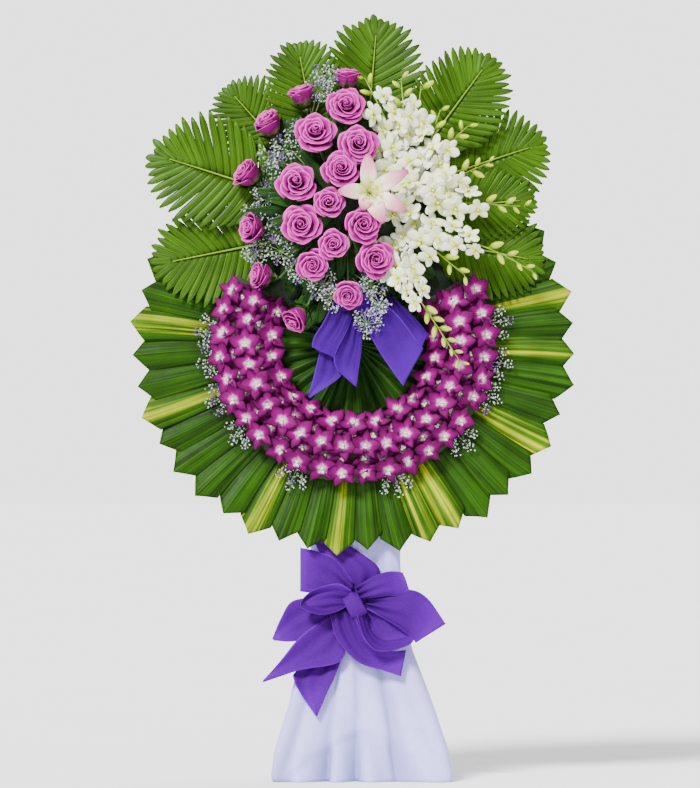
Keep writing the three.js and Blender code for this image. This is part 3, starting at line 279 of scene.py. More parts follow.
class Finish:
    """A material's node tree, with one short call for each node."""

    def __init__(self, name, **shader):
        self.material = bpy.data.materials.new(name)
        self.material.use_nodes = True
        self.tree = self.material.node_tree
        self.shader = self.tree.nodes["Principled BSDF"]
        for key, value in shader.items():
            self.set(self.shader, key.replace("_", " ").title().replace("Ior", "IOR"), value)
        self.place = self.node("ShaderNodeAttribute", attribute_name="place")
        axes = self.node("ShaderNodeSeparateXYZ", Vector=self.place.outputs["Vector"])
        self.across, self.along, self.tone = axes.outputs
        self.object = self.node("ShaderNodeTexCoord").outputs["Object"]

    def set(self, node, key, value):
        socket = node.inputs[key]
        if isinstance(value, bpy.types.NodeSocket):
            self.tree.links.new(value, socket)
        else:
            socket.default_value = value

    def node(self, kind, attribute_name=None, **inputs):
        made = self.tree.nodes.new(kind)
        if attribute_name:
            made.attribute_name = attribute_name
        for key, value in inputs.items():
            self.set(made, key, value)
        return made

    def math(self, operation, a, b=0.0):
        made = self.tree.nodes.new("ShaderNodeMath")
        made.operation = operation
        self.set(made, 0, a)
        self.set(made, 1, b)
        return made.outputs[0]

    def ramp(self, value, *stops):
        """A colour ramp of (position, colour) stops."""
        made = self.tree.nodes.new("ShaderNodeValToRGB")
        self.set(made, 0, value)
        ramp = made.color_ramp
        while len(ramp.elements) < len(stops):
            ramp.elements.new(0.5)
        for element, (position, colour) in zip(ramp.elements, stops):
            element.position = position
            element.color = (*colour[:3], 1)
        return made.outputs["Color"]

    def grey(self, value, *stops):
        return self.ramp(value, *((position, (level,) * 3) for position, level in stops))

    def mix(self, factor, a, b):
        made = self.tree.nodes.new("ShaderNodeMix")
        made.data_type = "RGBA"
        self.set(made, 0, factor)
        for index, value in ((6, a), (7, b)):
            self.set(made, index, value if isinstance(value, bpy.types.NodeSocket) else (*value[:3], 1))
        return made.outputs[2]

    def noise(self, scale, detail=3.0, vector=None, stretch=None):
        source = vector or self.object
        if stretch:
            source = self.node("ShaderNodeMapping", Vector=source, Scale=stretch).outputs[0]
        return self.node("ShaderNodeTexNoise", Vector=source, Scale=scale, Detail=detail).outputs["Fac"]

    def stripes(self, count, wander=0.0):
        """Fine lines that run along a leaf or petal, from 0 to 1."""
        turned = self.math("MULTIPLY", self.across, count * math.pi)
        if wander:
            turned = self.math("ADD", turned, self.math("MULTIPLY", self.noise(60), wander))
        wave = self.math("SINE", turned)
        return self.math("ADD", self.math("MULTIPLY", wave, 0.5), 0.5)

    def group(self, tree, **inputs):
        made = self.tree.nodes.new("ShaderNodeGroup")
        made.node_tree = tree
        for key, value in inputs.items():
            self.set(made, key, value)
        return made

    def bump(self, height, distance, strength=0.6):
        made = self.node("ShaderNodeBump", Height=height, Distance=distance, Strength=strength)
        self.tree.links.new(made.outputs[0], self.shader.inputs["Normal"])

    def done(self, colour, roughness=None):
        self.tree.links.new(colour, self.shader.inputs["Base Color"])
        if roughness is not None:
            self.tree.links.new(roughness, self.shader.inputs["Roughness"])
        return self.material


def mottle_group():
    """Soft patches and speckle that break up a living surface: a colour in, the same colour uneven out."""
    if "Mottle" in bpy.data.node_groups:
        return bpy.data.node_groups["Mottle"]
    tree = bpy.data.node_groups.new("Mottle", "ShaderNodeTree")
    for name, kind, way in (
        ("Color", "NodeSocketColor", "INPUT"),
        ("Scale", "NodeSocketFloat", "INPUT"),
        ("Amount", "NodeSocketFloat", "INPUT"),
        ("Color", "NodeSocketColor", "OUTPUT"),
    ):
        tree.interface.new_socket(name, in_out=way, socket_type=kind)
    entry = tree.nodes.new("NodeGroupInput")
    leave = tree.nodes.new("NodeGroupOutput")
    place = tree.nodes.new("ShaderNodeTexCoord")
    noise = tree.nodes.new("ShaderNodeTexNoise")
    noise.inputs["Detail"].default_value = 4
    level = tree.nodes.new("ShaderNodeMapRange")
    level.inputs["From Min"].default_value = 0.3
    level.inputs["From Max"].default_value = 0.7
    bright = tree.nodes.new("ShaderNodeMath")
    bright.operation = "MULTIPLY_ADD"
    base = tree.nodes.new("ShaderNodeMath")
    base.operation = "MULTIPLY_ADD"
    base.inputs[1].default_value = -0.5
    base.inputs[2].default_value = 1.0
    shade = tree.nodes.new("ShaderNodeHueSaturation")
    link = tree.links.new
    link(place.outputs["Object"], noise.inputs["Vector"])
    link(entry.outputs["Scale"], noise.inputs["Scale"])
    link(noise.outputs["Fac"], level.inputs["Value"])
    link(entry.outputs["Amount"], base.inputs[0])
    link(level.outputs["Result"], bright.inputs[0])
    link(entry.outputs["Amount"], bright.inputs[1])
    link(base.outputs[0], bright.inputs[2])
    link(bright.outputs[0], shade.inputs["Value"])
    link(entry.outputs["Color"], shade.inputs["Color"])
    link(shade.outputs["Color"], leave.inputs["Color"])
    return tree


def weave_group():
    """The spun, pressed fibres of non-woven cloth: a height between 0 and 1."""
    if "Cloth Fibres" in bpy.data.node_groups:
        return bpy.data.node_groups["Cloth Fibres"]
    tree = bpy.data.node_groups.new("Cloth Fibres", "ShaderNodeTree")
    tree.interface.new_socket("Scale", in_out="INPUT", socket_type="NodeSocketFloat")
    tree.interface.new_socket("Height", in_out="OUTPUT", socket_type="NodeSocketFloat")
    entry = tree.nodes.new("NodeGroupInput")
    leave = tree.nodes.new("NodeGroupOutput")
    place = tree.nodes.new("ShaderNodeTexCoord")
    total = tree.nodes.new("ShaderNodeMath")
    total.operation = "MULTIPLY"
    for index, turn in enumerate((0.5, -0.6)):
        mapping = tree.nodes.new("ShaderNodeMapping")
        mapping.inputs["Rotation"].default_value = (0, turn, 0)
        mapping.inputs["Scale"].default_value = (1, 1, 6)
        noise = tree.nodes.new("ShaderNodeTexNoise")
        noise.inputs["Detail"].default_value = 2
        tree.links.new(place.outputs["Object"], mapping.inputs["Vector"])
        tree.links.new(mapping.outputs[0], noise.inputs["Vector"])
        tree.links.new(entry.outputs["Scale"], noise.inputs["Scale"])
        tree.links.new(noise.outputs["Fac"], total.inputs[index])
    tree.links.new(total.outputs[0], leave.inputs["Height"])
    return tree


def tinted(colour, factor):
    return tuple(min(1.0, channel * factor) for channel in colour[:3])


def rose_finish(name, colour, root):
    f = Finish(name, roughness=0.5, specular_ior_level=0.06)
    # Painted shade and highlight: the ramp paints each petal darker from its middle down to its foot, as
    # shade in the rose's depths, and lighter at its rim, as a painted highlight.
    rim = tuple(min(1.0, 2.1 * c + 0.06) for c in colour[:3])
    body = f.ramp(
        f.along,
        (0.0, root),
        (0.5, tinted(colour, 0.5)),
        (0.8, tinted(colour, 0.85)),
        (0.93, tinted(colour, 1.3)),
        (0.985, rim),
    )
    vein = f.stripes(17, 3.0)
    veined = f.mix(f.math("MULTIPLY", vein, 0.14), body, tinted(colour, 0.5))
    even = f.group(mottle_group(), Color=veined, Scale=70.0, Amount=0.3)
    f.bump(f.math("ADD", f.math("MULTIPLY", vein, 0.4), f.noise(400)), 0.0006, 0.35)
    return f.done(even.outputs["Color"])


def orchid_finish(colour):
    f = Finish("Orchid Petal", roughness=0.5, specular_ior_level=0.05)
    vein = f.stripes(7, 2.0)
    edge = f.math("MULTIPLY", f.math("ABSOLUTE", f.across), 0.24)
    reach = f.math("SUBTRACT", f.math("ADD", f.along, edge), f.math("MULTIPLY", vein, 0.13))
    body = f.ramp(
        reach,
        (0.0, (0.8, 0.68, 0.78)),
        (0.16, (0.75, 0.5, 0.68)),
        (0.34, tinted(colour, 1.9)),
        (0.5, tinted(colour, 1.15)),
        (0.75, tinted(colour, 0.8)),
        (1.05, tinted(colour, 0.4)),
    )
    veined = f.mix(f.math("MULTIPLY", vein, 0.25), body, tinted(colour, 0.5))
    # Painted shade: a high tone paints the whole bloom dark crimson. The lower blooms between the rows carry
    # high tones, as shade under the upper blooms, whose low tones vary at random.
    tone_and_shade = f.mix(f.math("MULTIPLY", f.tone, 0.75), veined, tinted(colour, 0.3))
    even = f.group(mottle_group(), Color=tone_and_shade, Scale=60.0, Amount=0.5)
    f.bump(f.math("ADD", vein, f.noise(300)), 0.0005, 0.3)
    return f.done(even.outputs["Color"])


def lip_finish(name, throat, edge):
    f = Finish(name, roughness=0.5, specular_ior_level=0.3)
    body = f.ramp(f.along, (0.0, throat), (0.25, throat), (0.6, edge), (1.0, tinted(edge, 0.8)))
    even = f.group(mottle_group(), Color=body, Scale=120.0, Amount=0.4)
    f.bump(f.noise(500), 0.0005, 0.4)
    return f.done(even.outputs["Color"])


def white_petal_finish():
    f = Finish("White Orchid Petal", roughness=0.45, specular_ior_level=0.3)
    body = f.ramp(
        f.along,
        (0.0, (0.5, 0.62, 0.05)),
        (0.16, (0.68, 0.76, 0.14)),
        (0.4, (0.82, 0.84, 0.5)),
        (0.75, (0.86, 0.86, 0.74)),
    )
    vein = f.stripes(9, 2.0)
    veined = f.mix(f.math("MULTIPLY", vein, 0.1), body, (0.6, 0.68, 0.36))
    # Painted shade: each bloom's random tone paints it darker grey-green, standing in for the shade between
    # the blooms.
    tone_and_shade = f.mix(f.math("MULTIPLY", f.tone, 0.42), veined, (0.5, 0.58, 0.28))
    even = f.group(mottle_group(), Color=tone_and_shade, Scale=50.0, Amount=0.14)
    f.bump(f.math("ADD", vein, f.noise(250)), 0.0007, 0.4)
    return f.done(even.outputs["Color"])


def bud_finish():
    f = Finish("Orchid Bud", roughness=0.4)
    body = f.ramp(f.along, (0.0, (0.1, 0.2, 0.002)), (0.5, (0.3, 0.4, 0.004)), (1.0, (0.5, 0.56, 0.04)))
    even = f.group(mottle_group(), Color=body, Scale=90.0, Amount=0.3)
    f.bump(f.noise(300), 0.0004, 0.3)
    return f.done(even.outputs["Color"])


def lily_finish():
    f = Finish("Lily Petal", roughness=0.42, specular_ior_level=0.35)
    rib = f.grey(f.math("ABSOLUTE", f.across), (0.0, 1.0), (0.22, 0.35), (0.6, 0.0))
    length = f.ramp(
        f.along,
        (0.0, (0.36, 0.46, 0.01)),
        (0.25, (0.74, 0.74, 0.3)),
        (0.4, (0.82, 0.72, 0.62)),
        (0.62, (0.7, 0.26, 0.38)),
        (1.0, (0.46, 0.05, 0.17)),
    )
    near = f.grey(f.along, (0.1, 0.9), (0.6, 0.35), (0.85, 0.0))
    greened = f.mix(f.math("MULTIPLY", rib, near), length, (0.46, 0.54, 0.03))
    vein = f.stripes(7, 1.0)
    veined = f.mix(f.math("MULTIPLY", vein, 0.12), greened, (0.62, 0.4, 0.38))
    f.bump(f.math("ADD", vein, f.noise(200)), 0.0009, 0.45)
    return f.done(veined)


# The greens beside and between a striped leaf's yellow streaks
STRIPE_EDGE = (0.09, 0.17, 0.001)
STRIPE_VEIN = (0.05, 0.12, 0.001)


def leaf_finish(name, dark, light, stripe=None, veins=14, rough=0.4, bump=0.0006, contrast=0.16, coat=0.0):
    """A parallel-veined leaf. Where a stripe colour is given, leaves with a high tone carry streaks of it."""
    f = Finish(name, roughness=rough, specular_ior_level=0.07, coat_weight=coat, coat_roughness=0.25)
    vein = f.stripes(veins, 0.5)
    # The long streaks between the dark and the light green are partly the leaf's own streaked colour and
    # partly a painted sheen in place of gloss highlights.
    streak_and_sheen = f.noise(1.0, 4.0, f.place.outputs["Vector"], (5.0, 0.5, 23.0))
    body = f.mix(f.grey(streak_and_sheen, (0.34, 0.0), (0.66, 1.0)), dark, light)
    ridge = f.grey(f.math("ABSOLUTE", f.across), (0.0, 1.0), (0.035, 0.0))
    lined = f.mix(f.math("MULTIPLY", ridge, 0.55), body, tinted(light, 1.9))
    colour = f.mix(f.math("MULTIPLY", vein, contrast), lined, tinted(dark, 0.5))
    if not stripe:
        colour = f.mix(f.math("MULTIPLY", f.tone, 0.45), colour, dark)
    else:
        wide = f.noise(1.0, 2.0, f.place.outputs["Vector"], (3.4, 0.35, 31.0))
        inner = f.math("SUBTRACT", wide, f.math("MULTIPLY", f.math("ABSOLUTE", f.across), 0.22))
        band = f.grey(inner, (0.35, 0.0), (0.48, 0.8), (0.56, 1.0))
        core = f.grey(inner, (0.44, 0.0), (0.6, 1.0))
        streaks = f.mix(core, STRIPE_EDGE, stripe)
        chosen = f.grey(f.tone, (0.75, 0.0), (0.8, 1.0))
        fine = f.mix(f.math("MULTIPLY", f.stripes(9, 0.5), 0.5), streaks, STRIPE_VEIN)
        colour = f.mix(f.math("MULTIPLY", band, chosen), colour, fine)
        # Painted shade: the striped ring leaves are painted darker towards their roots, where the orchid roll
        # shades them.
        colour = f.mix(f.grey(f.along, (0.0, 0.75), (0.42, 0.0)), colour, tinted(dark, 0.5))
    even = f.group(mottle_group(), Color=colour, Scale=14.0, Amount=0.5)
    f.bump(f.math("ADD", f.math("MULTIPLY", vein, 0.5), f.math("MULTIPLY", f.noise(60), 0.8)), bump, 0.5)
    gloss = f.grey(f.noise(35), (0.3, rough - 0.08), (0.7, rough + 0.12))
    return f.done(even.outputs["Color"], gloss)


def plain_finish(name, colour, scale, amount, rough=0.6, bump=0.0006, **shader):
    """A surface of one colour with soft patches and a fine grain."""
    f = Finish(name, roughness=rough, **shader)
    base = f.mix(f.tone, tinted(colour, 0.8), tinted(colour, 1.2))
    even = f.group(mottle_group(), Color=base, Scale=scale, Amount=amount)
    f.bump(f.noise(scale * 6), bump, 0.5)
    return f.done(even.outputs["Color"])


def cloth_finish(name, colour, shade, fibres, rough, gathered=True):
    """Pressed-fibre cloth. Gathered ribbon is painted darker towards the knot as painted shade, lighter
    towards its end as painted light through the cloth, and has a painted highlight along its edges.
    """
    f = Finish(name, roughness=rough, specular_ior_level=0.05)
    fibre = f.group(weave_group(), Scale=fibres).outputs["Height"]
    body = f.mix(f.grey(fibre, (0.12, 0.0), (0.42, 1.0)), shade, colour)
    if gathered:
        # Painted shade: the ribbon darkens towards the knot, where the gathers shade it.
        length = f.grey(f.along, (0.0, 0.72), (0.3, 0.3), (0.75, 0.0))
        knot_shaded = f.mix(length, body, tinted(colour, 0.28))
        # Painted highlight: a lighter line along both edges of the ribbon.
        hem = f.grey(f.math("ABSOLUTE", f.across), (0.93, 0.0), (0.96, 0.5), (1.0, 0.5))
        # Painted light: the ribbon lightens towards its end, as if lit through the cloth.
        light = f.grey(f.along, (0.6, 0.0), (1.0, 0.45))
        tip_lit = f.mix(light, knot_shaded, tinted(colour, 1.7))
        body = f.mix(hem, tip_lit, tinted(colour, 2.0))
    else:
        # Painted shade: the skirt is painted darker where its tone is high, in the valleys of its folds and
        # under the gathered arch.
        body = f.mix(f.grey(f.tone, (0.2, 0.0), (0.9, 0.8)), body, tinted(colour, 0.45))
    even = f.group(mottle_group(), Color=body, Scale=9.0, Amount=0.16)
    dots = f.node("ShaderNodeTexVoronoi", Vector=f.object, Scale=fibres * 2.2).outputs["Distance"]
    f.bump(f.math("ADD", fibre, f.math("MULTIPLY", dots, 0.35)), 0.0009, 0.45)
    return f.done(even.outputs["Color"])


def wood_finish(name, colour, stretch, rough):
    f = Finish(name, roughness=rough, specular_ior_level=0.35)
    grain = f.noise(30, 5.0, stretch=stretch)
    body = f.ramp(grain, (0.3, tinted(colour, 0.45)), (0.55, colour), (0.8, tinted(colour, 1.35)))
    even = f.group(mottle_group(), Color=body, Scale=12.0, Amount=0.3)
    f.bump(grain, 0.0012, 0.5)
    gloss = f.grey(grain, (0.3, rough + 0.15), (0.8, rough - 0.05))
    return f.done(even.outputs["Color"], gloss)


# Sizes and colours that a user would change


def colour_property(name, description, default):
    return bpy.props.FloatVectorProperty(
        name=name, description=description, default=default, subtype="COLOR", size=3, min=0, max=1
    )


class WREATH_PG_sizes(bpy.types.PropertyGroup):
    """Sizes of the wreath's flowers and leaves, in millimetres unless a unit is given."""

    leaf_reach: bpy.props.FloatProperty(
        name="Leaf reach", description="Ring centre to the side leaves' points", default=446.0, min=300
    )
    leaf_notch: bpy.props.FloatProperty(
        name="Leaf notch", description="From a leaf's point back to the notch beside it", default=30.0, min=5
    )
    bloom_radius: bpy.props.FloatProperty(
        name="Orchid radius", description="Radius of the magenta orchids", default=33.0, min=10
    )
    white_radius: bpy.props.FloatProperty(
        name="White orchid radius", description="Radius of the largest white orchids", default=31.0, min=10
    )
    rose_petals: bpy.props.IntProperty(
        name="Rose petals", description="Petals in each open rose", default=23, min=18, max=60
    )
    leaflet_pairs: bpy.props.IntProperty(
        name="Leaflet pairs", description="Pairs of leaflets on each palm frond", default=18, min=6, max=40
    )
    camera_distance: bpy.props.FloatProperty(
        name="Camera distance", description="Camera to the wreath's front", default=12.0, unit="LENGTH"
    )


class WREATH_PG_colours(bpy.types.PropertyGroup):
    """Colours of the wreath's flowers, leaves and cloth."""

    rose: colour_property("Roses", "Petals of the roses", (0.27, 0.006, 0.165))
    orchid: colour_property("Orchids", "Petals of the magenta orchids", (0.14, 0.0, 0.088))
    # The leaf and palm colours are the light ends of the leaves' streaks, which are partly a painted sheen.
    leaf: colour_property("Ring leaves", "Light side of the ring's leaves", (0.019, 0.07, 0.001))
    palm: colour_property("Palm fronds", "Light side of the palm leaflets", (0.054, 0.143, 0.003))
    upper_ribbon: colour_property("Upper ribbon", "The bow under the roses", (0.048, 0.0, 0.19))
    lower_ribbon: colour_property("Lower ribbon", "The bow on the skirt", (0.068, 0.0, 0.21))
    skirt: colour_property("Skirt", "The cloth round the easel", (0.5, 0.48, 0.98))


def sizes():
    return bpy.context.scene.wreath_sizes


def colours():
    return bpy.context.scene.wreath_colours


# Leaves of the ring


LEAF_COUNT = 30
LEAF_STEP = math.radians(8.3)
LEAF_ROOT = 262
LEAF_THICK = 0.8
LEAF_QUARTERS = (8, 7, 7, 8)
# Which leaves are streaked with yellow, counted from the ring's left end
STRIPED_LEAVES = (3, 6, 11, 14, 17, 18, 22, 25, 27)


def ring_leaf(sheets, number):
    """One folded leaf, whose left edge lies over its neighbour."""
    start = RING_MIDDLE - LEAF_COUNT / 2 * LEAF_STEP
    middle = start + (number + 0.5) * LEAF_STEP
    sway = 6 * math.sin(number * 2.4)
    tip = sizes().leaf_reach + sway - 22 * math.cos(middle - RING_MIDDLE) ** 4
    u, v = lattice(16, 18)
    side = np.abs(u)
    reach = tip - sizes().leaf_notch * side**0.92 * (1 + 0.1 * np.sin(number * 1.7 + u))
    radius = LEAF_ROOT + (reach - LEAF_ROOT) * v
    angle = middle + u * LEAF_STEP * 0.57 + 0.006 * np.sin(3 * v + number)
    fold = 9 * (1 - side**1.3) * np.clip(v * 1.6, 0.3, 1)
    pleat = 0.3 * np.cos(u * math.pi * 4) * np.clip(v * 2, 0, 1)
    shingle = np.where(u > 0, 4.4 * u, 0.0)
    wave = 1.6 * np.sin(2.6 * v + number * 1.9) * v - 3.0 * side * (number % 3 == 1) * v
    depth = BOARD_FRONT - 3.4 - fold - pleat - shingle - wave
    tone = 0.35 + 0.3 * math.sin(number * 5.1)
    if number in STRIPED_LEAVES:
        tone = 0.84 + 0.15 * (number * 0.618 % 1)
    sheets.sheet(on_ring(angle, radius, depth), u, v, tone, thick=LEAF_THICK)


def make_ring_leaves():
    """The folded leaves round the outside, a quarter of the ring in each piece."""
    light = colours().leaf
    dark, yellow = tinted(light, 0.25), (0.42, 0.4, 0.002)
    material = leaf_finish("Ring Leaf", dark, light, yellow, veins=11, rough=0.5, contrast=0.12)
    first = 0
    for quarter, count in enumerate(LEAF_QUARTERS, start=1):
        sheets = Sheets()
        for number in range(first, first + count):
            ring_leaf(sheets, number)
        sheets.piece(f"ring_leaves_{quarter}", [material], "ring_leaf", [f"leaf_ring_{quarter}"])
        first += count


# The pleated leaf in the ring's middle


LINING_PLEATS = 30
LINING_RADII = (3, 146)
PLEAT_HEIGHT = 13


def make_lining():
    """A fan leaf of thirty pleats, dark green with pale ridges."""
    material = leaf_finish("Lining Leaf", (0.003, 0.013, 0.002), (0.02, 0.065, 0.006), veins=90, rough=0.42)
    u, v = lattice(LINING_PLEATS * 12, 22)
    angle = (u + 1) * math.pi
    pleat = 2 * np.abs((u + 1) * LINING_PLEATS / 2 % 1 - 0.5)
    inner, outer = LINING_RADII
    radius = inner + (outer - inner) * v
    ripple = 1.4 * np.sin(angle * 7) * v
    height = 2 + PLEAT_HEIGHT * pleat * np.clip(v * 1.3, 0.12, 1) + ripple + 7 * (1 - v) ** 2
    points = on_ring(angle, radius, BOARD_FRONT - GAP - height)
    sheets = Sheets()
    sheets.sheet(points, u, v, 0.35 + 0.25 * np.sin(angle * 9), thick=LEAF_THICK)
    sheets.piece("pleated_lining", [material], "lining_leaf", ["lining"])


# The roll of moss with its sprigs


# The roll's section, as radius and depth
ROLL_SECTION = ((152, -18.3), (166, -50), (215, -63), (264, -50), (283, -18.3))
ROLL_HALF_SPAN = math.radians(120)
ROLL_STEPS = 120
ROLL_COLUMNS = 25
# Each sprig's direction in degrees, and how far it stands out
SPRIGS = (
    *((176, 34), (188, 28), (203, 36), (219, 32), (246, 36)),
    *((287, 38), (318, 36), (338, 32), (352, 36), (8, 38)),
)
MOSS, SPRIG_STALK, SPRIG_WHITE = 0, 1, 2
FLORET_SIZE = 2.2
FLORETS_IN_HEAD = 8


def floret_head(sheets, floret, centre, reach, rng, finish):
    """A loose cluster of florets on hair-thin stalks, which take the piece's first finish."""
    for i in range(FLORETS_IN_HEAD):
        turn = i * GOLDEN_TURN
        lift = 1 - 1.55 * (i + 0.5) / FLORETS_IN_HEAD
        flat = math.sqrt(max(0.0, 1 - lift * lift))
        way = np.array([math.cos(turn) * flat, -lift, math.sin(turn) * flat])
        way = unit(way + rng.normal(0, 0.2, 3))
        place = centre + way * reach * rng.uniform(0.55, 1.0)
        sheets.tube([centre, centre + (place - centre) * 0.95], [0.35, 0.25], 3)
        matrix = plane_matrix(place, way, rng.uniform(0, 6), FLORET_SIZE * rng.uniform(0.8, 1.25))
        sheets.copy(floret, matrix, rng.random(), finish)


def make_moss_roll():
    """The moss roll under the orchids, and the filler sprigs at its outer edge."""
    rng = np.random.default_rng(31)
    sheets = Sheets()
    section = smooth(np.array(ROLL_SECTION), ROLL_COLUMNS)
    rough = 0.8 * rng.normal(0, 1.0, (ROLL_STEPS + 1, ROLL_COLUMNS))
    u, v = lattice(ROLL_COLUMNS - 1, ROLL_STEPS)
    angle = RING_MIDDLE + ROLL_HALF_SPAN * (2 * v - 1)
    depth = np.minimum(section[:, 1] - rough, BOARD_FRONT - GAP)
    sheets.sheet(on_ring(angle, section[:, 0] + rough, depth), u, v, 0.5, MOSS, 3.0)
    floret = modelled_unit(floret_unit)
    for degrees, reach in SPRIGS:
        angle = math.radians(degrees)
        root = on_ring(angle, 258, -32)
        for bend in (-0.09, 0.0, 0.08):
            end = on_ring(angle + bend, 280 + reach * (1 - abs(bend) * 4), -42)
            path = smooth([root, (root + end) / 2 + [0, -3, 0], end], 6)
            sheets.tube(path, [1.2, 1, 0.9, 0.8, 0.7, 0.6], 5, 0.5, SPRIG_STALK)
            for share in (0.55, 0.8, 1.0):
                purple = int(rng.random() < 0.15)
                floret_head(sheets, floret, root + (end - root) * share, 10, rng, SPRIG_WHITE + purple)
    moss = plain_finish("Moss", (0.02, 0.02, 0.008), 60, 0.8, rough=0.95, bump=0.003)
    stalk = plain_finish("Sprig Stalk", (0.12, 0.24, 0.05), 80, 0.3)
    sheets.piece("moss_and_sprigs", [moss, stalk, *statice_finishes()], "moss", ["moss_roll"])


def statice_finishes():
    """The white and the purple finish of the fine filler flowers, made once."""
    if "Statice White" not in bpy.data.materials:
        plain_finish("Statice White", (0.6, 0.6, 0.66), 90, 0.3, rough=0.8)
        plain_finish("Statice Purple", (0.26, 0.1, 0.5), 90, 0.4, rough=0.8)
    return [bpy.data.materials["Statice White"], bpy.data.materials["Statice Purple"]]


# Orchids


# Direction in degrees, length and half width of the three narrow sepals and the two broad petals
ORCHID_PETALS = ((20, 1.0, 0.42), (90, 1.02, 0.29), (160, 1.0, 0.42), (228, 0.98, 0.3), (312, 0.98, 0.3))
BROAD_HALF = 0.35
ORCHID_PETAL, ORCHID_LIP, ORCHID_COLUMN, ORCHID_STALK = range(4)


def orchid(sheets, matrix, rng, shade, rounded=0.0, column=ORCHID_COLUMN):
    """An open orchid that faces +Z, with a lip and a column. Sizes are shares of its radius."""
    u, v = lattice(6, 7)
    v = v * (2 - v)
    # shade is the range of the bloom's tone, which the petal finishes paint as darkening, a painted shade.
    tone = rng.uniform(*shade)
    for degrees, length, half in ORCHID_PETALS:
        length = length * rng.uniform(0.93, 1.05)
        bulk = np.clip(0.05 + 0.94 * v ** (0.9 + 0.5 * rounded), 0, 1)
        width = half * np.sin(math.pi * bulk) ** (0.7 - 0.25 * rounded)
        reach = length * (v - 0.05 * (1 - rounded) * u**2 * v)
        side = u * width
        curl = 0.16 * v**1.6 - 0.13 * u**2 * half * 2 + rng.uniform(-0.05, 0.07) * v**3
        ruffle = 0.025 * np.sin(5 * v + 4 * u + tone * 6) * np.abs(u)
        turn = math.radians(degrees + rng.uniform(-5, 5))
        c, s = math.cos(turn), math.sin(turn)
        lift = (0.02 if half > BROAD_HALF else -0.05) + curl + ruffle
        points = np.stack([reach * c - side * s, reach * s + side * c, lift], axis=2)
        sheets.sheet(moved(points, matrix), u, v, tone, ORCHID_PETAL)
    u, v = lattice(4, 5)
    width = 0.05 + 0.12 * np.sin(math.pi * np.clip(0.1 + 0.85 * v, 0, 1))
    lift = 0.06 + 0.16 * np.sin(v * 2.6) + 0.12 * u**2 * (1 - v)
    points = np.stack([u * width, -0.03 - 0.34 * v, lift], axis=2)
    sheets.sheet(moved(points, matrix), u, v, tone, ORCHID_LIP)
    path = moved(np.array([[0, 0.03, 0.0], [0, 0.05, 0.1], [0, 0.02, 0.2]]), matrix)
    scale = np.linalg.norm(np.array(matrix)[:3, 0])
    sheets.tube(path, np.array([0.06, 0.1, 0.06]) * scale, 6, 0.5, column)


class Draws:
    """The same run of numbers as the solids' own placing rule."""

    FACTOR = 1664525
    STEP = 1013904223
    RANGE = 4294967296

    def __init__(self, seed):
        self.seed = seed

    def between(self, low, high):
        self.seed = (self.seed * self.FACTOR + self.STEP) % self.RANGE
        return low + (high - low) * self.seed / self.RANGE


# Radius, blooms and outward tilt in degrees of each row on the roll, and of the lower rows between them
ORCHID_ROWS = ((172, 15, -32), (215, 20, 0), (258, 24, 32))
UNDER_ROWS = ((194, 19, -12), (237, 24, 12))
ORCHID_SPAN = math.radians(236)
ORCHID_STAND = 11
UNDER_STAND = 5
SEAT_SINK = 1.9


def roll_depth(radius):
    """The roll's face at a radius, between its crown and its shoulders."""
    (crown_radius, crown_depth), (shoulder_radius, shoulder_depth) = ROLL_SECTION[2:4]
    slope = (shoulder_depth - crown_depth) / (shoulder_radius - crown_radius)
    return crown_depth + abs(radius - crown_radius) * slope


def orchid_places():
    """Angle, seat, direction, height, spin and size of each bloom, where the solids have them."""
    draws = Draws(20)
    places = []
    for row, (radius, count, out) in enumerate(ORCHID_ROWS):
        for i in range(count):
            angle = RING_MIDDLE + ((i + 0.5) / count - 0.5) * ORCHID_SPAN + draws.between(-0.018, 0.018)
            tilt = math.radians(out + draws.between(-7, 7))
            axis = np.array([math.cos(angle), 0, math.sin(angle)]) * math.sin(tilt)
            axis = unit(axis + [draws.between(-0.08, 0.08), -math.cos(tilt), draws.between(-0.08, 0.08)])
            stand = ORCHID_STAND + (7 if (i + row) % 2 else 0)
            seat = on_ring(angle, radius, roll_depth(radius) - SEAT_SINK)
            places.append((angle, seat, axis, stand, draws.between(-0.9, 0.9), draws.between(0.94, 1.06)))
    return places


def under_places(rng):
    """Blooms set lower, between the rows, which hide the roll."""
    places = []
    for radius, count, out in UNDER_ROWS:
        for i in range(count):
            angle = RING_MIDDLE + ((i + 0.5) / count - 0.5) * ORCHID_SPAN + rng.uniform(-0.02, 0.02)
            tilt = math.radians(out + rng.uniform(-10, 10))
            axis = np.array([math.cos(angle), 0, math.sin(angle)]) * math.sin(tilt) - [0, math.cos(tilt), 0]
            seat = on_ring(angle, radius, roll_depth(radius) - SEAT_SINK)
            places.append((angle, seat, axis, UNDER_STAND, rng.uniform(-3, 3), rng.uniform(0.86, 0.98)))
    return places


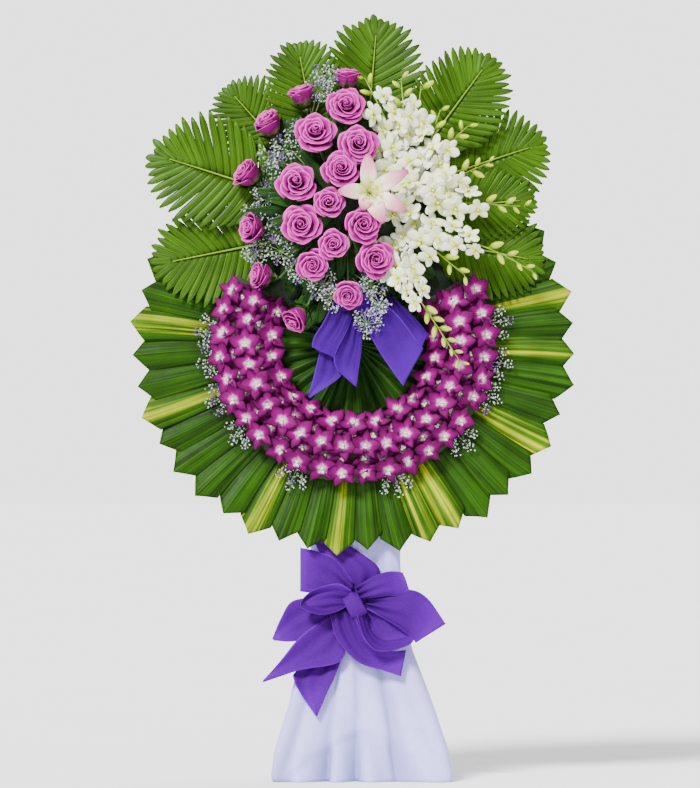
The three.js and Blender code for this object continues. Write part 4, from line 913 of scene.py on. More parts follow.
def make_orchids():
    """The magenta orchids on the roll, a quarter of it in each piece, on their short green stalks."""
    materials = [
        orchid_finish(colours().orchid),
        lip_finish("Orchid Lip", (0.7, 0.55, 0.6), tinted(colours().orchid, 0.7)),
        plain_finish("Orchid Column", (0.7, 0.68, 0.3), 90, 0.2, rough=0.5),
        plain_finish("Orchid Stalk", (0.05, 0.09, 0.012), 80, 0.3),
    ]
    rng = np.random.default_rng(7)
    arcs = [Sheets() for _ in range(4)]
    for angle, seat, axis, stand, spin, size in orchid_places() + under_places(rng):
        # The lower blooms take the high tones, which the petal finish paints dark as painted shade between
        # the rows.
        shade = (0.75, 1.0) if stand == UNDER_STAND else (0.0, 0.45)
        arc = arcs[min(3, int((angle - RING_MIDDLE + ROLL_HALF_SPAN) / (ROLL_HALF_SPAN / 2)))]
        centre = seat + axis * stand
        radius = sizes().bloom_radius * size
        orchid(arc, plane_matrix(centre, axis, spin, radius), rng, shade)
        arc.tube([seat - axis * 3, centre], [1.6, 1.4], 5, 0.5, ORCHID_STALK)
    for number, arc in enumerate(arcs, start=1):
        arc.piece(f"orchids_{number}", materials, "orchid_petal", [f"orchid_arc_{number}"])


# Palm fronds


# Foot and tip as x and height, the foot's depth, half the width as a share of the length,
# and how far the tip lies behind the foot
FRONDS = {
    "top": ((26, 1236), (52, 1546), -32, 0.34, 4),
    "left_1": ((-62, 1236), (-112, 1492), -46, 0.34, -6),
    "left_2": ((-108, 1232), (-258, 1402), -32, 0.38, 0),
    "left_3": ((-110, 1164), (-410, 1262), -46, 0.38, 0),
    "left_4": ((-108, 1092), (-402, 1034), -33, 0.36, 0),
    "right_1": ((120, 1233), (286, 1462), -46, 0.36, 0),
    "right_2": ((128, 1195), (394, 1286), -32, 0.38, 0),
    "right_3": ((128, 1141), (372, 1168), -46, 0.3, 0),
    "right_4": ((128, 1090), (392, 1040), -33, 0.36, 0),
}


LEAFLET, RIB = range(2)
LEAFLET_HALF = 0.0245
RIB_POINTS = 14


def palm_frond(name, foot, tip, depth, wide, lean, rng):
    """A feather-leaved frond, trimmed to a rounded outline."""
    foot, tip = np.array(foot, float), np.array(tip, float)
    length = np.linalg.norm(tip - foot)
    along = (tip - foot) / length
    across = np.array([-along[1], along[0]])

    def at(s, q, lift):
        """The place at a length along the frond, a distance to its side and a height over its arch."""
        arch = depth - 0.00035 * s * (length - s) - 0.0009 * q * q + lean * s / length - lift
        x = foot[0] + along[0] * s + across[0] * q
        z = foot[1] + along[1] * s + across[1] * q
        return np.stack([x, arch, z], axis=-1)

    sheets = Sheets()
    pairs = sizes().leaflet_pairs
    u, v = lattice(4, 9)
    for k in range(pairs):
        share = k / (pairs - 1)
        beta = math.radians(152 - 147 * share)
        root_s = length * (0.12 + 0.74 * share)
        for side in (1, -1):
            jitter = rng.uniform(0.93, 1.04)
            end_s = length * (0.6 + 0.4 * math.cos(beta) * jitter)
            end_q = side * wide * length * math.sin(beta) * jitter
            bow = 0.10 * length * (1 - v) * v * (0.9 - 1.2 * share)
            s = root_s + (end_s - root_s) * v - bow
            q = side * 1.5 + (end_q - side * 1.5) * v
            run = unit(np.array([end_s - root_s, end_q]))
            taper = np.clip((1.03 - v) * 5, 0.12, 1) ** 0.8
            half = LEAFLET_HALF * length * np.minimum(0.9 + 0.9 * v, 1) * taper
            fold = 1.2 * (1 - np.abs(u)) * np.clip(4 * (1 - v), 0.1, 1)
            droop = -3.0 * v**2 * rng.uniform(0.2, 1.6) + rng.uniform(-1.2, 1.2) * v
            points = at(s - u * run[1] * half, q + u * run[0] * half, fold + 0.8 + droop)
            sheets.sheet(points, u, v, rng.random(), LEAFLET)
    u, v = lattice(2, 14)
    strip = at(length * (0.04 + 0.84 * v), u * 6.5 * (1 - 0.5 * v), -0.6)
    sheets.sheet(strip, -u, v, 0.9, LEAFLET)
    path = at(length * np.linspace(0, 0.86, RIB_POINTS), 0.0, 5.2)
    sheets.tube(path, np.linspace(3.0, 0.8, RIB_POINTS), 7, 0.5, RIB)
    materials = [bpy.data.materials["Palm Leaflet"], bpy.data.materials["Palm Rib"]]
    sheets.piece(f"frond_{name}", materials, "palm_leaf", [f"palm_frond_{name}"])


def make_fronds():
    """The palm fronds round the head."""
    light = colours().palm
    leaf_finish("Palm Leaflet", tinted(light, 0.25), light, veins=5, bump=0.0005, contrast=0.2, coat=0.05)
    plain_finish("Palm Rib", (0.16, 0.26, 0.03), 60, 0.3, specular_ior_level=0.1)
    rng = np.random.default_rng(11)
    for name, (foot, tip, depth, wide, lean) in FRONDS.items():
        palm_frond(name, foot, tip, depth, wide, lean, rng)


# Roses


# Turn and lift of each rose, in degrees, and its radius; open roses first, then those in a half-open cup
OPEN_ROSES = (
    (90, 68, 40),
    (96, 68, 41),
    (80, 76, 40),
    (90, 74, 37),
    (110, 72, 40),
    (90, 80, 31),
    (150, 84, 40),
    (20, 82, 37),
    (200, 84, 31),
    (250, 80, 32),
    (330, 80, 37),
    (265, 66, 29),
)
CUP_ROSES = (
    (88, 14, 29),
    (108, 18, 29),
    (128, 28, 32),
    (146, 28, 31),
    (178, 38, 31),
    (176, 26, 29),
    (232, 26, 30),
)
# A rose head's height as a share of its radius
OPEN_HEIGHT = 1.06
CUP_HEIGHT = 1.74
# The widest petal as a share of the radius, how far the outer petals' rims sink, by how many degrees
# less they wrap, and how much of their width the bowl takes
OPEN_FORM = (0.93, 0.34, 74, 0.62)
CUP_FORM = (0.84, 0.16, 50, 0.8)
# How far out the loose petals of an open rose stand, and where a half-open one ends
OUTER_LAYERS = (0.4, 0.43, 0.46, 0.49, 0.53, 0.64, 0.67, 0.7, 0.73, 0.76, 0.9, 0.93, 0.96, 0.98, 1.0)
CUP_LAST_LAYER = 0.85
CUP_FULL_LAYER = 0.74


def plane_centre(node):
    """The middle of a node's box, in the leaning plane's frame, in millimetres."""
    low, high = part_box(node)
    middle = (Vector(low) + Vector(high)) / 2
    return np.array(TO_ROW.inverted() @ middle) / MM


def rose_petal(sheets, matrix, layer, angle, opened, rng):
    """A petal that wraps round the heart: layer is 0 at the heart and 1 outside."""
    u, v = lattice(12, 10)
    tall = OPEN_HEIGHT if opened else CUP_HEIGHT
    widest, sink, unwrap, inner = OPEN_FORM if opened else CUP_FORM
    wide = widest * (0.045 + 0.955 * layer**0.8)
    top = tall * (0.94 - sink * layer**1.6) * rng.uniform(0.97, 1.03)
    wrap = math.radians(128 - unwrap * layer**0.5)
    spread = 0.4 + 0.6 * np.sin(math.pi * np.clip(0.1 + 0.62 * v, 0, 1))
    bowl = wide * inner * np.sin(np.clip(v / 0.6, 0, 1) * math.pi / 2) ** 0.75
    flare = wide * (1 - inner) * np.clip((v - 0.3) / 0.7, 0, 1) ** 1.7
    side = np.abs(u)
    twist = 0.035 + 0.06 * min(1.0, layer * 2)
    roll = layer**0.7 * np.clip((v - 0.8) / 0.2, 0, 1) ** 1.6
    ripple = 0.018 * np.sin(3.3 * u + angle * 5) * v * layer
    corner = 0.11 * (layer > 0.35) * (1 - side**0.7) * np.clip((v - 0.6) / 0.4, 0, 1) ** 2
    overlap = twist * u * np.clip(v * 3, 0, 1)
    radius = 0.012 + corner + bowl + flare * (1 - 0.25 * side**2) + 0.05 * roll + ripple + overlap
    peak = 0.13 * layer * (1 - side**0.8) - 0.18 * side**2.6 * layer
    height = 0.04 + (top - 0.04) * v**0.9 + peak * v**3 - 0.09 * roll - 0.04 * side**2 * v
    phi = angle + wrap * u * spread
    points = np.stack([radius * np.cos(phi), radius * np.sin(phi), height], axis=2)
    nod = Matrix.Rotation(rng.uniform(-0.09, 0.09), 4, "X")
    sway = Matrix.Rotation(rng.uniform(-0.09, 0.09), 4, "Y")
    sheets.sheet(moved(points, matrix @ (nod @ sway)), u, v)


def rose_layers(count):
    """How far out each petal stands: a tight heart, then looser whorls of five."""
    return [*np.linspace(0, 0.3, count - len(OUTER_LAYERS)), *OUTER_LAYERS]


def rose(number, turn, lift, radius, heart, rng):
    """A rose head: petals in a spiral round a closed heart."""
    opened = number <= len(OPEN_ROSES)
    node = f"rose_{number:02d}"
    axis = facing(turn, lift)
    tall = OPEN_HEIGHT if opened else CUP_HEIGHT
    foot = plane_centre(node) - axis * radius * tall * 0.5
    matrix = plane_matrix(foot, axis, rng.uniform(0, 6), radius)
    sheets = Sheets()
    sheets.copy(heart, plane_matrix(foot + axis * radius * (tall - 0.36), axis, 0, radius * 0.24))
    for i, layer in enumerate(rose_layers(sizes().rose_petals)):
        if opened:
            rose_petal(sheets, matrix, layer, i * GOLDEN_TURN, True, rng)
        elif layer < CUP_LAST_LAYER:
            rose_petal(sheets, matrix, min(1.0, layer / CUP_FULL_LAYER), i * GOLDEN_TURN, False, rng)
    finish = bpy.data.materials["Rose Petal" if opened else "Half Open Rose Petal"]
    sheets.piece(f"rose_head_{number:02d}", [finish], "rose_petal", [node])


def make_roses():
    """The rose heads, open ones first."""
    # The open roses' foot colour is a dark painted shade for the depths between their petals; the half-open
    # roses' foot colour is their own pale green base.
    rose_finish("Rose Petal", colours().rose, tinted(colours().rose, 0.22))
    rose_finish("Half Open Rose Petal", colours().rose, (0.26, 0.24, 0.06))
    heart = modelled_unit(bud_unit)
    rng = np.random.default_rng(5)
    for number, (turn, lift, radius) in enumerate(OPEN_ROSES + CUP_ROSES, start=1):
        rose(number, turn, lift, radius, heart, rng)


# Stems, sepals and filler leaves of the head


# Where the stems meet in the foam, and the block's face, half sizes and middle
CORE = np.array([-14.0, -97.0, 1140.0])
FOAM_FRONT = -85
FOAM_HALF = (115, 90)
FOAM_MIDDLE = (10, 1140)
GREEN_STEM, GREEN_LEAF, GREEN_BED = range(3)
SEPALS = 5
EDGE_LEAVES = 66
INNER_LEAVES = 120
BROAD_LEAVES = 7
HEAD_RIGHT = 168


def filler_leaf(sheets, foot, end, half, lift, tone):
    """A pointed leaf with a raised rib and a gentle arch."""
    run = end - foot
    side = unit(np.cross(run, [0, 1, 0]))
    u, v = lattice(4, 9)
    width = half * np.sin(math.pi * np.clip(0.04 + 0.93 * v, 0, 1)) ** 0.75
    arch = lift * np.sin(math.pi * v) + 2.2 * np.abs(u)
    points = foot + run * v[..., None] + side * (u * width)[..., None] - np.array([0, 1, 0]) * arch[..., None]
    sheets.sheet(points, u, v, tone, GREEN_LEAF)


def over_edge(start, end):
    """Where a stem passes over the foam block's edge on its way out and back."""
    exits = []
    for axis, middle, half in ((0, FOAM_MIDDLE[0], FOAM_HALF[0]), (2, FOAM_MIDDLE[1], FOAM_HALF[1])):
        way = end[axis] - start[axis]
        exits.append((middle + math.copysign(half, way) - start[axis]) / way)
    place = start + (end - start) * min(0.9, min(exits) + 0.06)
    place[1] = FOAM_FRONT - 6
    return place


def foliage_bed(sheets, rng):
    """The dark mound of foliage on the foam block's face."""
    u, v = lattice(28, 10)
    angle = (u + 1) * math.pi
    swell = np.sin(v * math.pi / 2)
    rough = rng.normal(0, 1.2, u.shape) * (v > 0.1)
    x = CORE[0] + 112 * swell * np.cos(angle)
    depth = FOAM_FRONT - 1 - 25 * np.cos(v * math.pi / 2) - rough
    z = CORE[2] + 86 * swell * np.sin(angle)
    sheets.sheet(np.stack([x, depth, z], axis=2), u, v, 0.4, GREEN_BED, 2.0)


def rose_stem(sheets, number, turn, lift, radius, rng):
    """A rose's stem out of the foam, with the cup and the five sepals under its head."""
    opened = number <= len(OPEN_ROSES)
    axis = facing(turn, lift)
    tall = OPEN_HEIGHT if opened else CUP_HEIGHT
    foot = plane_centre(f"rose_{number:02d}") - axis * (radius * tall * 0.5 + 0.8)
    low = foot - axis * radius * 0.4
    way = [CORE, low, foot] if low[1] < FOAM_FRONT - 4 else [CORE, over_edge(CORE, low), low, foot]
    sheets.tube(smooth(way, 12), np.linspace(2.2, 2.4, 12), 6, 0.5, GREEN_STEM)
    cup = [foot - axis * radius * 0.34, foot - axis * radius * 0.16, foot]
    sheets.tube(cup, [2.6, radius * 0.22, radius * 0.3], 8, 0.5, GREEN_STEM)
    matrix = plane_matrix(foot, axis, rng.uniform(0, 6), radius)
    u, v = lattice(2, 7)
    out = 0.3 + (0.5 if opened else 0.66) * np.sin(v * 1.35) + 0.12 * v**3
    rise = -0.02 + (0.32 if opened else 0.9) * v**1.4 - 0.18 * v**4
    for k in range(SEPALS):
        phi = k * math.tau / SEPALS + u * 0.32 * np.clip((1 - v) * 1.8, 0.06, 1)
        points = np.stack([out * np.cos(phi), out * np.sin(phi), rise], axis=2)
        sheets.sheet(moved(points, matrix), u, v, 0.6, GREEN_LEAF)


def edge_leaves(sheets, rng):
    """Leaves that reach outward from three rings on the foam block, and less far at the right."""
    for i in range(EDGE_LEAVES):
        ring = i % 3
        angle = i * math.tau / EDGE_LEAVES + rng.uniform(-0.05, 0.05)
        c, s = math.cos(angle), math.sin(angle)
        foot = [CORE[0] + (88 - 26 * ring) * c, FOAM_FRONT - 6 - 8 * ring, CORE[2] + (62 - 18 * ring) * s]
        reach = (1.18 if c > 0.3 else rng.uniform(1.5, 2.2)) - 0.16 * ring
        depth = FOAM_FRONT - 8 - 14 * ring + rng.uniform(-8, 8)
        end = [CORE[0] + 92 * c * reach, depth, CORE[2] + 78 * s * reach]
        half, lift = rng.uniform(9, 13), rng.uniform(2, 7)
        filler_leaf(sheets, np.array(foot), np.array(end), half, lift, rng.random())


def inner_leaves(sheets, rng):
    """Leaves in a spiral between the flowers, from the head's middle outward."""
    for i in range(INNER_LEAVES):
        share = (i + 0.5) / INNER_LEAVES
        angle = i * GOLDEN_TURN
        c, s = math.cos(angle), math.sin(angle)
        spread = 25 + 165 * share**0.7
        foot = np.array([4 + spread * c * (0.72 if c > 0 else 1), -96 + 58 * share, 1130 + spread * s])
        out_x = c * rng.uniform(45, 70) + rng.uniform(-22, 22)
        out_z = s * rng.uniform(45, 75) + rng.uniform(-22, 22)
        end = foot + [out_x, 8 * share, out_z]
        end[0] = min(end[0], HEAD_RIGHT)
        filler_leaf(sheets, foot, end, rng.uniform(11, 17), rng.uniform(2, 8), rng.random())


def broad_leaves(sheets):
    """Broad leaves that stand in the top of the foam block, behind the upper roses."""
    for i in range(BROAD_LEAVES):
        foot = np.array([-98.0 + 18 * i, FOAM_FRONT + 7, 1222])
        end = foot + [-36 + 9 * i, -5, 104 + 6 * (i % 2)]
        filler_leaf(sheets, foot, end, 17, 3, 0.3)


def make_greenery():
    """The bundle of rose stems with their sepals, and the leaves that fill the head between the flowers."""
    rng = np.random.default_rng(17)
    sheets = Sheets()
    foliage_bed(sheets, rng)
    for number, (turn, lift, radius) in enumerate(OPEN_ROSES + CUP_ROSES, start=1):
        rose_stem(sheets, number, turn, lift, radius, rng)
    edge_leaves(sheets, rng)
    inner_leaves(sheets, rng)
    broad_leaves(sheets)
    stem = plain_finish("Rose Stem", (0.03, 0.08, 0.01), 70, 0.4, rough=0.5)
    dark, light = (0.003, 0.014, 0.002), (0.02, 0.07, 0.008)
    leaf = leaf_finish("Filler Leaf", dark, light, veins=5, contrast=0.2, coat=0.05)
    bed = plain_finish("Foliage Bed", (0.005, 0.014, 0.003), 60, 0.6, rough=0.9, bump=0.003)
    sheets.piece("stems_and_leaves", [stem, leaf, bed], "stem_green", ["greenery"])


# Lily


LILY_CENTRE = np.array([34.0, -172.0, 1166.0])
# Direction in degrees, length and half width of each tepal
LILY_TEPALS = (
    (92, 76, 16.8),
    (28, 88, 15.68),
    (332, 84, 16.8),
    (294, 70, 17.92),
    (250, 40, 14.56),
    (180, 62, 15.68),
)
LILY_STAMENS = 6
LILY_SEAT_DEPTH = -109.5
LILY_PETAL, LILY_STYLE, LILY_ANTHER = range(3)


def make_lily():
    """The open lily: six tepals that roll back, a style and its stamens."""
    sheets = Sheets()
    rng = np.random.default_rng(3)
    u, v = lattice(8, 16)
    for number, (turn, length, half) in enumerate(LILY_TEPALS):
        out, side = facing(turn, 0), facing(turn + 90, 0)
        width = half * np.sin(math.pi * np.clip(0.08 + 0.88 * v**0.9, 0, 1)) ** 0.8
        depth = 24 * (1 - v) ** 2.2 - 8 * np.sin(v * 2.2) + 10 * v**3 - 2.6 * (1 - np.abs(u)) * v
        ruffle = 1.6 * np.sin(9 * v + number) * np.abs(u) ** 3 + (-2 if number % 2 else 0)
        points = (
            LILY_CENTRE
            + out * (length * v)[..., None]
            + side * (u * width)[..., None]
            + np.array([0, 1, 0]) * (depth + ruffle)[..., None]
        )
        sheets.sheet(points, u, v, 0.5, LILY_PETAL, 0.7)
    throat = LILY_CENTRE + [0, 24, 0]
    for k in range(LILY_STAMENS):
        end = LILY_CENTRE + facing(k * 60 + 20, 0) * rng.uniform(16, 22) + [0, -16, 0]
        path = smooth([throat, (throat + end) / 2 + [0, -4, 0], end], 7)
        sheets.tube(path, np.linspace(1.0, 0.6, 7), 5, 0.5, LILY_STYLE)
        way = facing(k * 60 + 110, 10)
        anther = [end - way * 6, end - way * 3, end, end + way * 3, end + way * 6]
        sheets.tube(anther, [0.6, 1.8, 2.1, 1.8, 0.6], 6, 0.5, LILY_ANTHER)
    sheets.tube([throat, LILY_CENTRE + [1, -20, 2]], [1.5, 1.3], 6, 0.6, LILY_STYLE)
    seat = np.array([LILY_CENTRE[0], LILY_SEAT_DEPTH, LILY_CENTRE[2]])
    stalk = smooth([seat, (seat + throat) / 2, throat + [0, -4, 0]], 6)
    sheets.tube(stalk, [3.4, 3.4, 3.6, 4, 5, 7], 8, 0.4, LILY_STYLE)
    petal = lily_finish()
    style = plain_finish("Lily Style", (0.45, 0.52, 0.1), 60, 0.3, rough=0.45)
    anther = plain_finish("Lily Anther", (0.5, 0.42, 0.12), 200, 0.6, rough=0.9)
    sheets.piece("lily_bloom", [petal, style, anther], "lily_petal", ["lily"])


# White orchid sprays


# Each spray's hub, and each of its stems' way with its number of open blooms and of buds
SPRAYS = {
    "top": (
        (100, -80, 1240),
        (
            (((96, -96, 1262), (74, -114, 1306), (46, -108, 1364), (22, -92, 1414)), 6, 3),
            (((102, -98, 1270), (104, -126, 1320), (98, -98, 1410)), 4, 4),
            (((112, -88, 1262), (128, -104, 1310), (140, -94, 1400)), 3, 1),
        ),
    ),
    "upper_right": (
        (134, -78, 1212),
        (
            (((140, -100, 1240), (156, -112, 1276), (180, -92, 1350)), 3, 3),
            (((150, -96, 1226), (180, -116, 1258), (238, -92, 1314)), 4, 4),
        ),
    ),
    "right": (
        (134, -74, 1170),
        (
            (((146, -112, 1180), (186, -120, 1194), (284, -98, 1238)), 6, 5),
            (((156, -110, 1160), (206, -116, 1152), (352, -92, 1146)), 6, 5),
        ),
    ),
    "lower_right": (
        (134, -68, 1110),
        (
            (((150, -104, 1102), (200, -118, 1084), (290, -112, 1052), (372, -98, 1008)), 6, 6),
            (((146, -108, 1084), (164, -120, 1056), (232, -110, 1000)), 4, 4),
        ),
    ),
    "hanging": (
        (104, -66, 1042),
        ((((98, -110, 1030), (110, -130, 992), (150, -132, 930), (222, -112, 822)), 8, 11),),
    ),
}
FOOT_BLOOMS = 4
STEM_POINTS = 60
SPRAY_BUD, SPRAY_STEM = 2, 3


def spray_seat(hub):
    """The face of the foam block nearest to a spray's hub."""
    x = min(max(hub[0], FOAM_MIDDLE[0] - FOAM_HALF[0]), FOAM_MIDDLE[0] + FOAM_HALF[0] + 0.4)
    z = min(max(hub[2], FOAM_MIDDLE[1] - FOAM_HALF[1] - 0.4), FOAM_MIDDLE[1] + FOAM_HALF[1] + 0.4)
    return np.array([x, hub[1], z])


def white_bloom(sheets, centre, axis, size, rng):
    """An open white orchid with rounded petals, whose column has the lip's colour."""
    matrix = plane_matrix(centre, axis, rng.uniform(-0.9, 0.9), size)
    orchid(sheets, matrix, rng, (0.0, 1.0), rounded=1.0, column=ORCHID_LIP)


def foot_blooms(sheets, hub, rng):
    """The blooms in front of a spray's foot."""
    for k in range(FOOT_BLOOMS):
        angle = k * GOLDEN_TURN
        centre = hub + [-34 + 24 * math.cos(angle), -34 - 5 * k, 26 * math.sin(angle)]
        axis = unit(np.array([rng.uniform(-0.5, 0.5), -1, rng.uniform(-0.5, 0.5)]))
        path = smooth([hub, (hub + centre) / 2 + [0, -8, 0], centre], 6)
        sheets.tube(path, np.linspace(1.6, 1.2, 6), 5, 0.6, SPRAY_STEM)
        white_bloom(sheets, centre, axis, sizes().white_radius * rng.uniform(0.8, 1), rng)


def spray_stem(sheets, hub, way, opened, buds, bud, rng):
    """A stem with open blooms and then buds, by turns on its two sides."""
    path = smooth([hub, *way], STEM_POINTS)
    sheets.tube(path[::3], np.linspace(2.4, 1.0, STEM_POINTS // 3), 6, 0.5, SPRAY_STEM)
    reach = lengths_along(path)
    places = opened + buds
    for i in range(places):
        share = 0.12 + 0.86 * (i + 0.5) / places
        at = int(np.searchsorted(reach, share * reach[-1]))
        tangent = unit(path[min(at + 1, STEM_POINTS - 1)] - path[max(at - 1, 0)])
        side = unit(np.cross(tangent, [0, -1, 0]))
        lean = (1 if i % 2 else -1) * rng.uniform(0.5, 1.3)
        place = path[min(at, STEM_POINTS - 1)]
        if i < opened:
            axis = unit(np.array([0, -1, 0]) + side * lean + tangent * rng.uniform(-0.2, 0.4))
            centre = place + axis * rng.uniform(17, 31)
            size = sizes().white_radius * (1.1 - 0.4 * i / opened) * rng.uniform(0.78, 1.08)
            sheets.tube([place, centre], [1.2, 1.3], 5, 0.6, SPRAY_STEM)
            white_bloom(sheets, centre, axis, size, rng)
        else:
            axis = unit(tangent + side * lean * 0.9 + np.array([0, -0.4, 0]))
            size = (1.1 - 0.5 * (i - opened) / buds) * rng.uniform(0.85, 1.1)
            sheets.tube([place, place + axis * 6 * size], [0.8, 0.8], 4, 0.6, SPRAY_STEM)
            matrix = plane_matrix(place + axis * 16 * size, axis, 0, 12.5 * size)
            sheets.copy(bud, matrix, rng.random(), SPRAY_BUD)


def white_spray(name, hub, stems, bud, rng):
    """A spray of white orchids: open blooms near its foot, buds towards its tip."""
    sheets = Sheets()
    hub = np.array(hub, float)
    seat = spray_seat(hub)
    sheets.tube([seat, hub + (hub - seat) * 0.15], [3.0, 3.0], 7, 0.5, SPRAY_STEM)
    foot_blooms(sheets, hub, rng)
    for way, opened, buds in stems:
        spray_stem(sheets, hub, way, opened, buds, bud, rng)
    finishes = ("White Orchid Petal", "White Orchid Lip", "Orchid Bud", "Spray Stem")
    materials = [bpy.data.materials[finish] for finish in finishes]
    sheets.piece(f"white_orchids_{name}", materials, "white_orchid", [f"white_spray_{name}"])


def make_white_sprays():
    """The sprays of white orchids at the head's top and right."""
    white_petal_finish()
    lip_finish("White Orchid Lip", (0.46, 0.5, 0.005), (0.74, 0.78, 0.16))
    bud_finish()
    plain_finish("Spray Stem", (0.2, 0.3, 0.015), 70, 0.3, rough=0.45)
    bud = modelled_unit(bud_unit)
    rng = np.random.default_rng(23)
    for name, (hub, stems) in SPRAYS.items():
        white_spray(name, hub, stems, bud, rng)


# Statice


# Each bunch's hub and the middles of its heads
STATICE = {
    "upper": (
        (-112, -66, 1224),
        (
            (-50, -84, 1406),
            (-68, -86, 1384),
            (-134, -84, 1262),
            (-160, -84, 1246),
            (-172, -76, 1170),
            (-150, -82, 1206),
            (-104, -88, 1298),
            (-188, -80, 1142),
        ),
    ),
    "lower": (
        (-34, -64, 1042),
        (
            (-196, -84, 1052),
            (-144, -88, 1058),
            (-104, -94, 1010),
            (-156, -88, 1098),
            (-58, -108, 986),
            (-44, -106, 962),
            (36, -118, 984),
            (56, -124, 942),
            (30, -116, 906),
        ),
    ),
}
STATICE_STALK, STATICE_WHITE = 0, 1
HEAD_TWIGS = 11


def make_statice():
    """Two bunches of fine lilac and white filler flowers on branching stalks."""
    floret = modelled_unit(floret_unit)
    stalk = plain_finish("Statice Stalk", (0.14, 0.26, 0.08), 80, 0.3)
    rng = np.random.default_rng(41)
    for name, (hub, heads) in STATICE.items():
        sheets = Sheets()
        hub = np.array(hub, float)
        sheets.tube([spray_seat(hub), hub], [2.4, 2.4], 6, 0.5, STATICE_STALK)
        for k, head in enumerate(heads):
            end = np.array(head, float)
            path = smooth([hub, hub + (end - hub) * 0.5 + [0, 3, 0], end], 8)
            sheets.tube(path, np.linspace(1.5, 0.8, 8), 5, 0.5, STATICE_STALK)
            for j in range(HEAD_TWIGS):
                twig = end + facing(j * 33 + k * 25, rng.uniform(-10, 50)) * rng.uniform(9, 31)
                sheets.tube([end, twig], [0.7, 0.5], 4, 0.5, STATICE_STALK)
                purple = int((j + k) % 4 == 0)
                floret_head(sheets, floret, twig, 9, rng, STATICE_WHITE + purple)
        sheets.piece(f"statice_{name}_flowers", [stalk, *statice_finishes()], "statice", [f"statice_{name}"])


# Ribbons and bows


RIBBON_GATHERS = 5
RIBBON_ACROSS = 14
RIBBON, PICK = range(2)


def ribbon(sheets, left, right, gather=3.0, bulge=6.0, along=36, phase=0.0):
    """A strip of ribbon between two edges that run from the knot to its end, gathered at the knot."""
    a, b = smooth(left, along + 1), smooth(right, along + 1)
    u, v = lattice(RIBBON_ACROSS, along)
    middle = (u + 1)[..., None] / 2
    points = a[:, None, :] * (1 - middle) + b[:, None, :] * middle
    normal = normals_of(points)
    folds = gather * np.sin(u * RIBBON_GATHERS * math.pi / 2 + phase + 2 * v) * (1 - v) ** 1.5
    crown = bulge * (1 - u**2) * np.sin(np.clip(v * 1.15, 0, 1) * math.pi) ** 0.8
    drape = 1.6 * np.sin(7 * v + 3 * u + phase) * v
    points = points + normal * (folds + crown + drape)[..., None]
    sheets.sheet(points, u, v, 0.5, RIBBON, 0.7)
    return area_of(points)


def skirt_front(z):
    """How far forward the skirt's front stands at a height, in the row frame, in millimetres."""
    _, forward, _, _ = skirt_measures(z)
    return PLANE_Y + POLE_FRONT / math.cos(LEAN) + z * math.tan(LEAN) - forward - 2


def bow_edge(stations):
    """Stations of a ribbon's edge on the skirt, from x, z and how far they stand out from the cloth."""
    return [(x + PLANE_X, skirt_front(z) - out, z) for x, z, out in stations]


# Each ribbon of the large bow: its two edges from the knot outward, as (x, z, distance in front of the cloth)
LOWER_RIBBONS = (
    (
        ((-4, 366, 6), (-34, 424, 5), (-64, 456, 3), (-78, 480, 1)),
        ((26, 372, 6), (56, 420, 5), (10, 460, 3), (-38, 488, 1)),
    ),
    (
        ((4, 396, 12), (-34, 444, 12), (-68, 458, 11), (-104, 466, 12)),
        ((-4, 360, 14), (-44, 368, 15), (-74, 374, 14), (-104, 378, 12)),
    ),
    (
        ((-14, 356, 16), (-60, 366, 16), (-118, 360, 12), (-142, 326, 12), (-160, 284, 12)),
        ((-10, 338, 18), (-54, 318, 18), (-94, 286, 14), (-124, 278, 13), (-156, 281, 12)),
    ),
    (
        ((-20, 346, 18), (-58, 322, 18), (-104, 288, 19), (-144, 240, 23), (-178, 202, 26)),
        ((0, 326, 20), (-10, 280, 22), (-26, 238, 20), (-104, 222, 22), (-178, 199, 26)),
    ),
    (
        ((-60, 246, 4), (-112, 218, 6), (-116, 200, 11), (-102, 174, 12), (-72, 132, 12)),
        ((-14, 262, 4), (-24, 236, 6), (-36, 204, 11), (-50, 176, 12), (-70, 130, 12)),
    ),
    (
        ((30, 366, 18), (80, 374, 20), (118, 382, 16), (152, 364, 14), (188, 314, 14)),
        ((24, 346, 18), (70, 322, 20), (100, 300, 16), (120, 284, 14), (128, 276, 14)),
    ),
    (
        ((8, 388, 26), (30, 402, 28), (62, 416, 26), (84, 419, 22), (102, 417, 18)),
        ((14, 362, 28), (40, 366, 32), (70, 370, 30), (96, 370, 26), (116, 380, 20)),
    ),
    (
        ((-44, 334, 34), (-34, 292, 36), (-8, 256, 34), (20, 234, 28), (60, 222, 22), (98, 210, 18)),
        ((2, 346, 38), (12, 318, 42), (24, 286, 38), (46, 266, 30), (84, 260, 24), (108, 262, 18)),
    ),
    (
        (
            *((-2, 356, 46), (-30, 340, 52), (-62, 334, 54), (-90, 342, 50), (-102, 352, 44)),
            *((-90, 372, 42), (-62, 388, 40), (-26, 395, 38), (0, 380, 34)),
        ),
        (
            *((0, 352, 26), (-34, 352, 26), (-56, 350, 24), (-74, 356, 22), (-84, 362, 20)),
            *((-80, 366, 18), (-60, 364, 17), (-28, 362, 18), (2, 362, 22)),
        ),
    ),
    (
        (
            *((6, 352, 48), (12, 320, 54), (24, 286, 56), (46, 262, 54), (84, 262, 48)),
            *((122, 280, 38), (100, 304, 34), (60, 328, 34), (32, 344, 34)),
        ),
        (
            *((20, 350, 26), (30, 328, 24), (38, 302, 24), (56, 284, 22), (80, 282, 20)),
            *((108, 290, 18), (92, 306, 16), (56, 330, 18), (28, 346, 22)),
        ),
    ),
)
